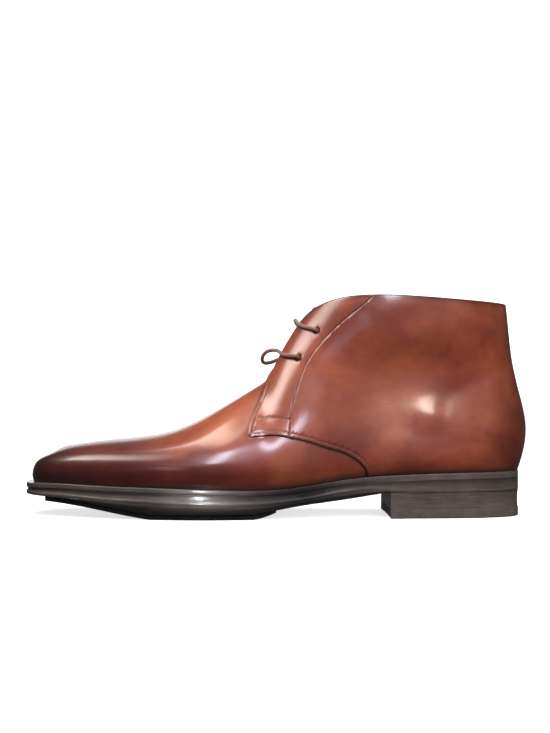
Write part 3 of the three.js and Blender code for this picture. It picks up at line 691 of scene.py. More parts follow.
# Pressed lines: depth of the thread's groove, then depth and reach of the soft hollow round it
CRISP_SHARE = 0.72
QUARTER_GROOVE = 0.22 * MM
QUARTER_HOLLOW = (0.22 * MM, 1.6 * MM)
FACING_GROOVE = 0.34 * MM
FACING_HOLLOW = (0.09 * MM, 2.2 * MM)
BAR_GROOVE = 0.24 * MM
BAR_HOLLOW = (0.06 * MM, 2.0 * MM)
RIM_DROP = 0.45 * MM
HOLE_DROP = 0.3 * MM
HOLE_ROUNDING = 1.3 * MM

# Darkening by polish: where it starts and is full towards toe, toe tip and heel. Then the reach of the
# painted shade along the join with the sole
TOE_BURNISH = (5 * MM, 140 * MM)
TIP_BURNISH = (110 * MM, 145 * MM)
HEEL_BURNISH = (118 * MM, 156 * MM)
WELT_JOIN_SHADE_REACH = 3.2 * MM

grid_points, grid_triangles = upper_grid(GRID_STATIONS, GRID_LEVELS)
grid_normals = vertex_normals(grid_points, grid_triangles)


def form_tree(offset):
    """Search tree over the bare form of the upper, moved out by an offset"""
    moved = grid_points + grid_normals * offset
    return BVHTree.FromPolygons(moved.tolist(), grid_triangles.tolist())


def hit(tree, origin, direction):
    place, normal, _, _ = tree.ray_cast(Vector(origin), Vector(direction))
    return np.array(place), np.array(normal)


quarter_tree = form_tree(QUARTER_STEP)
eyelets = []
for share, rise in EYELETS:
    for side in (-1, 1):
        eyelets.append(hit(quarter_tree, (x_at(share), side * FAR, rise_at(rise)), (0, -side, 0)))


def eyelet_field(points):
    """Positive inside any of the punched holes"""
    depth = np.full(len(points), -np.inf)
    for place, normal in eyelets:
        away = points - place
        along = away @ normal
        across = np.linalg.norm(away - along[:, None] * normal, axis=1)
        beside = np.abs(along) < HOLE_REACH
        depth = np.maximum(depth, np.where(beside, EYELET_DIAMETER / 2 - across, -FAR))
    return depth


# Soft troughs and ridges of a worn boot: two ends, half width and depth in millimetres.
# A ridge has a depth below zero. The last column says which side of the boot it lies on.
FOLDS = (
    (75, 57, 128, 41, 9, 1.5, -1),
    (84, 62, 101, 60, 10, -2.0, -1),
    (103, 72, 140, 93, 6, 1.1, -1),
    (88, 82, 118, 92, 9, -0.5, -1),
    (60, 92, 92, 100, 11, 0.5, -1),
    (66, 112, 96, 105, 10, -0.5, -1),
    (20, 66, 52, 74, 7, 0.5, -1),
    (14, 73, 40, 70, 6, -0.4, -1),
    (30, 96, 50, 84, 8, 0.4, -1),
    (70, 60, 126, 46, 10, 0.8, 1),
    (80, 72, 116, 74, 10, -0.7, 1),
    (96, 84, 140, 96, 8, 0.6, 1),
    (24, 68, 56, 72, 8, 0.5, 1),
    (40, 92, 78, 104, 10, 0.5, 1),
    (-44, 40, -22, 60, 5, 0.25, -1),
    (-34, 36, -14, 52, 5, -0.2, -1),
    (-48, 40, -24, 58, 5, 0.25, 1),
)
FOLD_SHARE = 0.5
FOLD_TAPER = 0.6
SIDE_BLEND = 12 * MM


def folds(points):
    """How far the hand-placed folds press in at each point"""
    depth = np.zeros(len(points))
    for x1, z1, x2, z2, width, press, side in FOLDS:
        start, run = np.array([x1, z1]) * MM, np.array([x2 - x1, z2 - z1]) * MM
        flat = points[:, [0, 2]] - start
        share = (flat @ run) / (run @ run)
        away = np.linalg.norm(flat - np.clip(share, 0, 1)[:, None] * run, axis=1)
        from_middle = np.abs(share - 0.5) * 2
        taper = 1 - FOLD_TAPER * smooth_step(from_middle, 0.2, 1.3)
        same_side = smooth_step(side * points[:, 1], 0.0, SIDE_BLEND)
        depth += FOLD_SHARE * press * MM * near(away, width * MM) * taper * same_side
    return depth


# Colour spots, partly the leather's own tone and partly painted light and shade: centre, and reach along
# and up, in millimetres, then how much warmer, or darker below zero
TONE_AND_SHADE_SPOTS = (
    (-60, 56, 46, 9, 0.5),
    (-26, 66, 22, 12, 0.5),
    (-85, 30, 52, 12, -0.9),
    (-35, 27, 26, 10, -0.45),
    (12, 32, 24, 10, -0.35),
    (4, 33, 9, 5, 0.35),
    (36, 44, 22, 8, -0.55),
    (95, 50, 28, 9, -0.3),
    (80, 92, 16, 12, 0.5),
    (118, 80, 22, 8, -0.4),
    (124, 82, 16, 14, 0.25),
    (34, 112, 15, 14, -0.3),
    (70, 31, 30, 9, -0.35),
    (120, 33, 30, 7, -0.3),
    (70, 127, 60, 7, -0.35),
    (46, 84, 18, 14, 0.25),
)


def tone_and_painted_shade(points):
    """Warmth of the leather at each point, with painted light and shade in some spots: one half is neutral
    """
    warmth_and_shade = np.full(len(points), 0.5)
    for x, z, reach_x, reach_z, change in TONE_AND_SHADE_SPOTS:
        spot = near(points[:, 0] - x * MM, reach_x * MM) * near(points[:, 2] - z * MM, reach_z * MM)
        warmth_and_shade += 0.5 * change * spot
    return np.clip(warmth_and_shade, 0, 1)


def groove(away, depth):
    """Narrow round-bottomed groove for a thread"""
    return depth * np.clip(1 - (away / SEAM_HALF_WIDTH) ** 2, 0, 1)


def hollow(away, depth, reach):
    """Soft hollow beside an edge or a seam"""
    return depth * near(away, reach)


def relief(points):
    """Height of the outer surface above the bare form"""
    quarter = quarter_field(points)
    facing = distance_to(points, facing_line)
    bar = distance_to(points, bar_line)
    crisp = smooth_step(quarter, -0.01 * MM, 0.14 * MM)
    rounded = smooth_step(quarter, 0, 0.8 * MM)
    height = QUARTER_STEP * (CRISP_SHARE * crisp + (1 - CRISP_SHARE) * rounded)
    height -= hollow(quarter, *QUARTER_HOLLOW) * (quarter < 0)
    height -= groove(np.abs(quarter - STITCH_INSET), QUARTER_GROOVE)
    height -= groove(facing, FACING_GROOVE) + hollow(facing, *FACING_HOLLOW)
    height -= groove(bar, BAR_GROOVE) + hollow(bar, *BAR_HOLLOW)
    for rim in (collar_field(points), throat_field(points)):
        height -= RIM_DROP * np.clip(1 + rim / EDGE_ROUNDING, 0, 1) ** 2
    height -= HOLE_DROP * np.clip(1 + eyelet_field(points) / HOLE_ROUNDING, 0, 1) ** 2
    return height - folds(points)


def shell(surface, outer, inner, bulge, rim_index=1, inner_index=2):
    """Closed sheet between two copies of a surface, with a rounded rim"""
    count = len(outer)
    edges = rim_edges(surface.triangles)
    heading = outer[edges[:, 1]] - outer[edges[:, 0]]
    outwards = np.zeros_like(outer)
    for k in range(2):
        np.add.at(outwards, edges[:, k], np.cross(heading, surface.normals[edges[:, k]]))
    rim = np.unique(edges)
    reach = np.linalg.norm(outwards[rim], axis=1)
    outwards = outwards[rim] / np.maximum(reach, 1e-9)[:, None]
    middle = (outer[rim] + inner[rim]) / 2 + outwards * bulge[rim][:, None]
    where = -np.ones(count, int)
    where[rim] = 2 * count + np.arange(len(rim))
    a, b = edges.T
    first = np.column_stack([b, a, where[a], where[b]])
    second = np.column_stack([where[b], where[a], a + count, b + count])
    faces = surface.triangles.tolist() + (surface.triangles[:, ::-1] + count).tolist()
    kinds = [0] * len(surface.triangles) + [inner_index] * len(surface.triangles)
    faces += first.tolist() + second.tolist()
    kinds += [rim_index] * (2 * len(edges))
    return np.vstack([outer, inner, middle]), faces, kinds


def make_upper(materials):
    surface = Surface(grid_points.copy(), grid_triangles.copy())
    for level in RIM_CUTS:
        surface.cut(collar_field, level)
        surface.cut(throat_field, level)
    for level in HOLE_CUTS:
        surface.cut(eyelet_field, level)
    surface.remove(lambda p: np.maximum.reduce([collar_field(p), throat_field(p), eyelet_field(p)]))
    for level in QUARTER_CUTS + STITCH_CUTS:
        surface.cut(quarter_field, level, lambda p: np.abs(quarter_field(p)) < QUARTER_ZONE)
    for side_of, line in ((facing_side, facing_line), (bar_side, bar_line)):
        for level in SEAM_CUTS:
            surface.cut(side_of, level, lambda p, line=line: distance_to(p, line) < SEAM_ZONE)
    base = surface.points
    outer = base + surface.normals * relief(base)[:, None]
    floor_z = sole_top(np.clip(along_at(outer[:, 0]), 0, 1)) + GAP
    outer[:, 2] = np.maximum(outer[:, 2], floor_z)
    inner = base - surface.normals * (WALL + folds(base))[:, None]
    inner[:, 2] = np.maximum(inner[:, 2], floor_z)
    on_foot = base[:, 2] < floor_z + FOOT_MARGIN
    points, faces, kinds = shell(surface, outer, inner, np.where(on_foot, 0.0, RIM_BULGE))
    extra = len(points) - 2 * len(outer)

    def layer(values, on_rim=1.0):
        """One value a point: as given outside, none on the lining, and the same all along the rim"""
        return np.concatenate([values, np.zeros(len(values)), np.full(extra, on_rim)])

    quarter = quarter_field(base)
    seams = np.maximum.reduce(
        [
            near(quarter, 0.8 * MM),
            0.35 * near(np.abs(quarter - STITCH_INSET), 0.6 * MM),
            0.4 * near(distance_to(base, facing_line), 0.7 * MM),
            0.45 * near(distance_to(base, bar_line), 0.6 * MM),
            0.7 * near(np.minimum(eyelet_field(base), 0), 1.0 * MM),
        ]
    )
    rims = np.maximum(near(collar_field(base), 2.2 * MM), near(throat_field(base), 1.4 * MM))
    foot_height = base[:, 2] - sole_top(np.clip(along_at(base[:, 0]), 0, 1))
    toe = smooth_step(-base[:, 0], *TOE_BURNISH) * (0.75 + 0.25 * smooth_step(-base[:, 0], *TIP_BURNISH))
    heel = smooth_step(base[:, 0], *HEEL_BURNISH)
    attributes = {
        "seam": layer(np.maximum(seams, rims)),
        "burnish": layer(np.maximum(toe, 0.75 * heel)),
        # Painted shade on the upper where it meets the sole
        "welt_join_shade": layer(near(np.maximum(foot_height, 0), WELT_JOIN_SHADE_REACH)),
        # Tone of the leather, with painted light and shade from the colour spots
        "warmth_and_shade": layer(tone_and_painted_shade(base), 0.0),
    }
    obj = make_object("upper_shell", points, faces, materials, attributes=attributes, face_materials=kinds)
    obj.data.set_sharp_from_angle(angle=math.radians(50))
    outside = BVHTree.FromPolygons(outer.tolist(), surface.triangles.tolist())
    return settle(obj, "upper_leather", "upper"), outside


TONGUE_SPAN = (0.30, 0.66)
TONGUE_CORNER = 0.4
TONGUE_ROUNDING = 0.8 * MM
TONGUE_BULGE = 0.3 * MM
TONGUE_WAVE = 0.25 * MM


def make_tongue(materials):
    """A leaf behind the throat"""
    half = TONGUE_WIDTH / 2
    top, foot = rise_at(TONGUE_TOP), rise_at(TONGUE_FOOT)
    base = grid_points - grid_normals * (WALL + GAP)
    surface = Surface(base, grid_triangles.copy())

    def outside(points):
        y, z = np.abs(points[:, 1]), points[:, 2]
        narrow = half * (0.8 + 0.2 * np.clip((z - foot) / (top - half / 4 - foot), 0, 1))
        corner = TONGUE_CORNER * half
        shoulder = np.hypot(np.maximum(y - half + corner, 0), np.maximum(z - top + corner, 0)) - corner
        edge = np.maximum.reduce([y - narrow, foot - z, shoulder, z - top])
        return np.where(between(points, TONGUE_SPAN), edge, FAR)

    for level in (0.0, -0.5 * MM):
        surface.cut(outside, level)
    surface.remove(outside)
    rim = np.clip(1 + outside(surface.points) / TONGUE_ROUNDING, 0, 1) ** 2
    wave = TONGUE_WAVE * np.sin(surface.points[:, 2] / (7 * MM)) * np.cos(surface.points[:, 1] / (9 * MM))
    outer = surface.points - surface.normals * (0.35 * MM * rim + np.maximum(wave, 0))[:, None]
    inner = surface.points - surface.normals * (TONGUE_THICKNESS + np.maximum(wave, 0))[:, None]
    points, faces, kinds = shell(surface, outer, inner, np.full(len(outer), TONGUE_BULGE), 1, 1)
    obj = make_object("tongue_leaf", points, faces, materials, face_materials=kinds)
    return settle(obj, "tongue_leather", "tongue")


# Sole pieces from rings

EDGE_STATIONS = 180
edge_ring = Ring(EDGE_STATIONS)
LIP_ROUNDING = 0.6 * MM
GROOVE_DEPTH = 0.8 * MM
GROOVE_END = (0.60, 0.74)
EDGE_CROWN = 0.06 * MM
SEAM_GAP = 0.05 * MM

# Painted shade: the edge is darkest at the waist, where it turns under the foot
WAIST_SHADE = 0.93
WAIST_PLACE = 16 * MM
WAIST_REACH = 32 * MM


def groove_depth(along):
    start, end = GROOVE_END
    return GROOVE_DEPTH * (1 - np.clip((along - start) / (end - start), 0, 1))


def stack(name, ring, rings, material, closed=False, shade=None):
    """Closed piece from rings listed upwards, or from a closed loop of rings"""
    size = ring.size
    faces = []
    last = len(rings) if closed else len(rings) - 1
    for j in range(last):
        above = (j + 1) % len(rings)
        faces += ring.side_faces(lambda i: j * size + i, lambda i: above * size + i).tolist()
    if not closed:
        faces += ring.cap_faces(lambda i: i, False)
        faces += ring.cap_faces(lambda i: (len(rings) - 1) * size + i, True)
    points = np.vstack(rings)
    shades = np.repeat(shade or [0.0] * len(rings), size)
    waist = WAIST_SHADE * near(points[:, 0] - WAIST_PLACE, WAIST_REACH)
    attributes = {"shade": np.maximum(shades, waist)}
    obj = make_object(name, points, faces, material, attributes=attributes)
    obj.data.set_sharp_from_angle(angle=math.radians(48))
    return obj


def arc_insets(depth, rise, count, start, end):
    """Inset and rise of points on a rounded edge"""
    turns = [math.radians(start + (end - start) * k / count) for k in range(count + 1)]
    return [(depth * (1 - math.cos(t)), rise * math.sin(t)) for t in turns]


def make_welt(material):
    ring = edge_ring

    def at(inset, depth):
        return ring.sole_ring(inset, lambda along: sole_top(along) - depth)

    lip_foot = WELT_THICKNESS - 2 * LIP_ROUNDING
    rings = [at(groove_depth, WELT_THICKNESS), at(groove_depth, WELT_THICKNESS - 0.4 * LIP_ROUNDING)]
    for share, rise in arc_insets(1.0, LIP_ROUNDING, 5, -90, 0):
        rings.append(at(lambda along, share=share: share * groove_depth(along), lip_foot - rise))
    for share in (0.75, 0.5, 0.25):
        crown = EDGE_CROWN * ((2 * share - 1) ** 2 - 1)
        rings.append(at(crown, LIP_ROUNDING + share * (lip_foot - LIP_ROUNDING)))
    for inset, rise in arc_insets(LIP_ROUNDING, LIP_ROUNDING, 5, 0, 90):
        rings.append(at(inset, LIP_ROUNDING - rise))
    rings += [at(WELT_WIDTH / 2, 0), at(WELT_WIDTH, 0), at(WELT_WIDTH, WELT_THICKNESS)]
    obj = stack("welt_strip", ring, rings, material, closed=True)
    return settle(obj, "sole_edge", "welt")


def make_outsole(material):
    ring = edge_ring

    def top(along):
        return sole_top(along) - WELT_THICKNESS - SEAM_GAP

    def lip(along):
        return np.maximum(sole_top(along) - sole["edge"](along) * EDGE_DEPTH, outsole_ground(along) + GAP)

    def lip_top(along):
        return np.minimum(lip(along) + 3 * LIP_ROUNDING, top(along) - 2 * GAP)

    def groove_foot(along):
        return np.minimum(lip_top(along) + LIP_ROUNDING, top(along) - GAP)

    def under_edge(share):
        inset = 1 - math.sin(share * math.pi / 2) ** 1.1
        height = share**1.25

        def inset_at(along):
            return sole["bevel"](along) * UNDERSIDE_BEVEL * inset

        def height_at(along):
            low = outsole_ground(along)
            return low + height * (lip(along) - low)

        return ring.sole_ring(inset_at, height_at)

    rings = [under_edge(k / 10) for k in range(10)]
    rings.append(ring.sole_ring(LIP_ROUNDING / 3, lip))
    for share in (0.2, 0.5, 0.8):
        rings.append(
            ring.sole_ring(
                -EDGE_CROWN * math.sin(share * math.pi),
                lambda along, share=share: lip(along) + share * (lip_top(along) - lip(along)),
            )
        )
    rings += [
        ring.sole_ring(lambda along: 0.2 * groove_depth(along), lip_top),
        ring.sole_ring(groove_depth, groove_foot),
        ring.sole_ring(groove_depth, top),
    ]
    # Painted shade: dark on the underside, light at the lip, and dark at the top below the welt
    shade = [1 - 0.08 * k for k in range(10)] + [0.15] + [0.0] * (len(rings) - 12) + [0.8]
    return settle(stack("outsole_body", ring, rings, material, shade=shade), "sole_edge", "outsole")


INSOLE_STATIONS = 100
INSOLE_ROUNDING = 0.5 * MM


def make_insole(material):
    ring = Ring(INSOLE_STATIONS)

    def wall_inset(along):
        return sole["project"](along) * WELT_PROJECTION + WALL + 3 * GAP

    def up(height):
        return lambda along: sole_top(along) + height

    plug = WELT_WIDTH + GAP
    rings = [
        ring.sole_ring(plug, up(-WELT_THICKNESS)),
        ring.sole_ring(plug, up(GAP)),
        ring.sole_ring(wall_inset, up(GAP)),
        ring.sole_ring(wall_inset, up(INSOLE_THICKNESS - INSOLE_ROUNDING)),
        ring.sole_ring(lambda along: wall_inset(along) + INSOLE_ROUNDING, up(INSOLE_THICKNESS)),
    ]
    return settle(stack("insole_board", ring, rings, material), "insole_leather", "insole")


TREAD_FRONT = 0.020
TREAD_BACK = 0.497
TREAD_TAPER_REACH = 0.040
TREAD_TAPER_RISE = 1.6 * MM
TREAD_STEPS = (150, 28)


def make_tread(material):
    """Thin sheet under the forefoot, with a rounded front and a straight back"""
    along_steps, across_steps = TREAD_STEPS
    half = 0.6 * BALL_WIDTH
    front, back = x_at(TREAD_FRONT), x_at(TREAD_BACK)

    def front_at(y):
        t = (1 + y / half) / 2
        return front + half * (0.35 * (1 - t) ** 2 - 0.5 * t * (1 - t) + 0.35 * t**2)

    def sheet(extra, height):
        edge = edge_ring.sole_ring(lambda a: sole["bevel"](a) * UNDERSIDE_BEVEL + TREAD_INSET * extra, 0.0)
        outer = edge[: EDGE_STATIONS + 1]
        inner = np.vstack([edge[:1], edge[EDGE_STATIONS:][::-1]])
        shares = [np.linspace(0, 1, steps + 1) for steps in TREAD_STEPS]
        u, v = np.meshgrid(*shares, indexing="ij")
        x = front + u * (back - front)
        for _ in range(4):
            low = np.interp(x, outer[:, 0], outer[:, 1])
            high = np.interp(x, inner[:, 0], inner[:, 1])
            y = low + v * (high - low)
            x = front_at(y) + u * (back - front_at(y))
        z = height(np.clip(along_at(x), 0, 1))
        return np.stack([x, y, z], axis=-1).reshape(-1, 3)

    def top(a):
        return tread_ground(a) + TREAD_THICKNESS

    def ground(a):
        taper = np.clip((a - TREAD_BACK) / TREAD_TAPER_REACH + 1, 0, 1) ** 2
        return tread_ground(a) + TREAD_TAPER_RISE * taper

    sheets = [sheet(0.55, ground), sheet(0.25, lambda a: (ground(a) + top(a)) / 2), sheet(0.15, top)]
    count = (along_steps + 1) * (across_steps + 1)

    def at(i, j):
        return i * (across_steps + 1) + j

    faces = []
    for i in range(along_steps):
        for j in range(across_steps):
            quad = [at(i, j), at(i + 1, j), at(i + 1, j + 1), at(i, j + 1)]
            faces.append(quad[::-1])
            faces.append([2 * count + k for k in quad])
    rim = [at(i, 0) for i in range(along_steps)]
    rim += [at(along_steps, j) for j in range(across_steps)]
    rim += [at(i, across_steps) for i in range(along_steps, 0, -1)]
    rim += [at(0, j) for j in range(across_steps, 0, -1)]
    ring_points = sheets[1][np.array(rim)]
    points = np.vstack([sheets[0], np.zeros((count, 3)), sheets[2], ring_points])
    start = 3 * count
    for k in range(len(rim)):
        n = (k + 1) % len(rim)
        faces.append([rim[k], rim[n], start + n, start + k])
        faces.append([start + k, start + n, 2 * count + rim[n], 2 * count + rim[k]])
    used = np.unique(np.concatenate([np.array(f) for f in faces]))
    index = -np.ones(len(points), int)
    index[used] = np.arange(len(used))
    faces = [[index[v] for v in f] for f in faces]
    obj = make_object("forepart_sheet", points[used], faces, material)
    obj.data.set_sharp_from_angle(angle=math.radians(40))
    return settle(obj, "tread_rubber", "forepart_tread")


BREAST_SKEW = 1.2 * MM
BREAST_HOLLOW = 1.5 * MM
HEEL_TUCK = 0.35 * MM
HEEL_HOLLOW = 0.25 * MM
HEEL_ROWS = 12
LIFT_ROUNDING = 0.4 * MM


def breast_x(y):
    """Place of the heel's breast, which is hollow and slightly skewed across the boot"""
    half = BALL_WIDTH / 2
    t = (1 - y / half) / 2
    x = x_at(HEEL_BREAST)
    middle = 2 * (x + 2 * BREAST_HOLLOW) * t * (1 - t)
    return (x - BREAST_SKEW) * (1 - t) ** 2 + middle + (x + BREAST_SKEW) * t**2


def heel_outline(inset, side_points=150, breast_points=24):
    """Plan of the heel: round the back from one end of the breast to the other, then along the breast"""
    edge = edge_ring.sole_ring(inset, 0.0)[:, :2]
    behind = edge[:, 0] - breast_x(edge[:, 1])
    back = np.nonzero(behind > 0)[0]
    first, last = back[0], back[-1]

    def crossing(a, b):
        share = behind[a] / (behind[a] - behind[b])
        return edge[a] + share * (edge[b] - edge[a])

    start = crossing(first - 1, first)
    end = crossing(last, (last + 1) % edge_ring.size)
    path = np.vstack([start, edge[first : last + 1], end])
    run = path_run(path)
    steps = np.linspace(0, run[-1], side_points)
    path = np.column_stack([np.interp(steps, run, path[:, 0]), np.interp(steps, run, path[:, 1])])
    y = np.linspace(path[-1, 1], path[0, 1], breast_points + 2)[1:-1]
    return np.vstack([path, np.column_stack([breast_x(y), y])])


def tube_faces(count, size):
    """Faces between rings of the same size, with both ends closed"""
    faces = [list(range(size))[::-1], [(count - 1) * size + i for i in range(size)]]
    for j in range(count - 1):
        for i in range(size):
            n = (i + 1) % size
            faces.append([j * size + i, j * size + n, (j + 1) * size + n, (j + 1) * size + i])
    return faces


def heel_layer(name, profile, material):
    """Closed layer of the heel from rows of inset and height"""
    outlines = []
    for inset, height in profile:
        plan = heel_outline(inset)
        outlines.append(np.column_stack([plan, np.full(len(plan), height)]))
    faces = tube_faces(len(outlines), len(outlines[0]))
    obj = make_object(name, np.vstack(outlines), faces, material)
    obj.data.set_sharp_from_angle(angle=math.radians(40))
    return obj


def make_heel(stack_material, lift_material):
    foot = TOP_LIFT_THICKNESS + SEAM_GAP
    rise = HEEL_HEIGHT + GAP - SEAM_GAP - foot
    profile = []
    for k in range(HEEL_ROWS + 1):
        share = k / HEEL_ROWS
        sag = HEEL_HOLLOW * math.sin(math.pi * share)
        profile.append((HEEL_TUCK * (1 - 0.5 * share) + sag, foot + share * rise))
    block = heel_layer("heel_block", profile, stack_material)
    corner = LIP_ROUNDING / 2
    start = TOP_LIFT_THICKNESS - corner
    low = [(inset, LIP_ROUNDING + up) for inset, up in arc_insets(LIFT_ROUNDING, LIP_ROUNDING, 4, -90, 0)]
    high = [(inset, start + up) for inset, up in arc_insets(HEEL_TUCK / 2, corner, 4, 0, 90)]
    lift = heel_layer("top_lift_layer", low + high, lift_material)
    settle(block, "sole_edge", "heel_stack")
    settle(lift, "lift_rubber", "top_lift")


# Lace: each bar comes up through one eyelet, crosses the throat and goes down through the other

# Rows of a bar: place across, from -1 at the outer eyelet to 1 at the inner one, then lift and slack
LOWER_BAR = (
    (-0.74, 0.22, 0.06), (-0.42, 0.55, 0.12), (-0.22, 0.66, 0.45), (-0.04, 0.52, 0.92), (0.08, 0.02, 1.05),
    (0.18, -0.42, 0.75), (0.32, -0.45, 0.25), (0.52, -0.28, 0.06), (0.75, -0.10, 0.03),
)
UPPER_BAR = (
    (-0.70, 0.42, 0.04),
    (-0.35, 0.82, 0.05),
    (0.00, 1.00, 0.06),
    (0.35, 0.82, 0.05),
    (0.70, 0.42, 0.04),
)
LACE_END_DEPTH = 2.1 * MM
LACE_ARCH = 1.3
LACE_SIDES = 20
LACE_STEPS = 220


def tube(points, radius, sides, steps):
    """Round tube along a smooth curve, with its ends rounded off"""
    points = np.array(points)
    run = np.concatenate([[0], np.cumsum(np.sqrt(np.linalg.norm(np.diff(points, axis=0), axis=1)))])
    place = np.linspace(0, run[-1], steps)
    path = np.column_stack([spline(run, points[:, k])(place) for k in range(3)])
    heading = np.gradient(path, axis=0)
    heading /= np.linalg.norm(heading, axis=1)[:, None]
    across = np.cross(heading[0], (0.0, 0.0, 1.0))
    length = path_run(path)
    rings, runs, turns = [], [], []
    for k in range(steps):
        across = across - heading[k] * (across @ heading[k])
        across /= np.linalg.norm(across)
        up = np.cross(heading[k], across)
        end = min(length[k], length[-1] - length[k]) / radius
        size = radius * math.sqrt(max(1 - max(1 - end, 0) ** 2, 0.05))
        for i in range(sides):
            angle = 2 * math.pi * i / sides
            rings.append(path[k] + size * (math.cos(angle) * across + math.sin(angle) * up))
            runs.append(length[k] / MM)
            turns.append(angle)
    wrap = {"run": runs, "ring_sin": np.sin(turns), "ring_cos": np.cos(turns)}
    return np.array(rings), tube_faces(steps, sides), wrap


def make_bar(name, table, pair, material, node):
    (outer, outer_normal), (inner, inner_normal) = eyelets[2 * pair], eyelets[2 * pair + 1]
    stand_off = GAP + LACE_DIAMETER / 2
    over = form_tree(QUARTER_STEP + stand_off)
    rises = (-LACE_END_DEPTH, 0, stand_off * LACE_ARCH)
    route = [outer + outer_normal * h for h in rises]
    for drift, lift, slack in table:
        y = -drift * outer[1] if drift < 0 else drift * inner[1]
        place, _ = hit(over, (-FAR, y, outer[2] + lift * LACE_SLACK), (1, 0, 0))
        place[0] -= slack * LACE_SLACK
        route.append(place)
    route += [inner + inner_normal * h for h in reversed(rises)]
    points, faces, wrap = tube(route, LACE_DIAMETER / 2, LACE_SIDES, LACE_STEPS)
    return settle(make_object(name, points, faces, material, attributes=wrap), "lace_cord", node)


# Stitches: short rounded threads lying in the seam grooves


def inset_line(line, depth):
    """A line moved inwards, without the part that would cross itself at a corner"""
    heading = np.gradient(line, axis=0)
    inwards = np.column_stack([-heading[:, 1], heading[:, 0]])
    inwards /= np.linalg.norm(inwards, axis=1)[:, None]
    moved = line + inwards * depth
    spots = np.column_stack([moved[:, 0], np.zeros(len(moved)), moved[:, 1]])
    keep = (distance_to(spots, line) > 0.97 * depth) & is_inside(spots, quarter_area)
    return moved[keep]


def seam_places(line, side, tree, pitch):
    """Evenly spaced places along a drawn line on the surface, with the heading and normal at each"""
    found = []
    for x, z in line:
        place, normal, _, _ = tree.ray_cast(Vector((x, side * FAR, z)), Vector((0, -side, 0)))
        if place is not None:
            found.append((*place, *normal))
    found = np.array(found)
    steps = np.linalg.norm(np.diff(found[:, :3], axis=0), axis=1)
    found = found[np.concatenate([[True], steps > 0.02 * MM])]
    run = path_run(found[:, :3])
    wanted = np.arange(pitch / 2, run[-1], pitch)

    def pick(at):
        return np.column_stack([np.interp(at, run, found[:, k]) for k in range(6)])

    here, ahead = pick(wanted), pick(wanted + pitch / 4)
    heading = ahead[:, :3] - here[:, :3]
    heading /= np.maximum(np.linalg.norm(heading, axis=1), 1e-9)[:, None]
    return here[:, :3], heading, here[:, 3:]


STITCH_PITCH = 2.2 * MM
STITCH_LENGTH = 1.7 * MM
STITCH_WIDTH = 0.55 * MM
STITCH_HEIGHT = 0.2 * MM
STITCH_SINK = 0.02 * MM
STITCH_BEND = 0.12 * MM


def stitch_mesh(runs):
    """One mesh of many stitches, each a short thread whose ends dip into the leather"""
    sides, rings = 6, 7
    points, faces = [], []
    for places, headings, normals in runs:
        for place, heading, normal in zip(places, headings, normals):
            normal = normal / np.linalg.norm(normal)
            across = np.cross(normal, heading)
            across /= np.linalg.norm(across)
            start = len(points)
            for k in range(rings):
                share = k / (rings - 1) * 2 - 1
                size = math.sqrt(max(1 - abs(share) ** 3, 0.06))
                depth = STITCH_SINK + STITCH_BEND * share**2
                middle = place + heading * share * STITCH_LENGTH / 2 - normal * depth
                for i in range(sides):
                    angle = 2 * math.pi * i / sides
                    wide = across * math.cos(angle) * STITCH_WIDTH / 2
                    high = normal * math.sin(angle) * STITCH_HEIGHT
                    points.append(middle + (wide + high) * size)
            for k in range(rings - 1):
                for i in range(sides):
                    n = (i + 1) % sides
                    a, b = start + k * sides, start + (k + 1) * sides
                    faces.append([a + i, b + i, b + n, a + n])
            faces.append([start + i for i in range(sides)])
            faces.append([start + (rings - 1) * sides + i for i in range(sides)][::-1])
    return points, faces


# Materials

LEATHER_RED = (0.16, 0.031, 0.018)
LEATHER_ORANGE = (0.27, 0.068, 0.026)
LEATHER_BROWN = (0.1, 0.026, 0.016)
LEATHER_DEEP = (0.058, 0.007, 0.003)
LEATHER_DARK = (0.018, 0.0055, 0.004)
LEATHER_SEAM_AND_SHADE = (0.022, 0.008, 0.006)
SOLE_PAINTED_SHADE = (0.009, 0.008, 0.0075)
SOLE_DARK = (0.044, 0.034, 0.028)
SOLE_LIGHT = (0.082, 0.065, 0.055)
SOLE_WORN = (0.12, 0.098, 0.084)


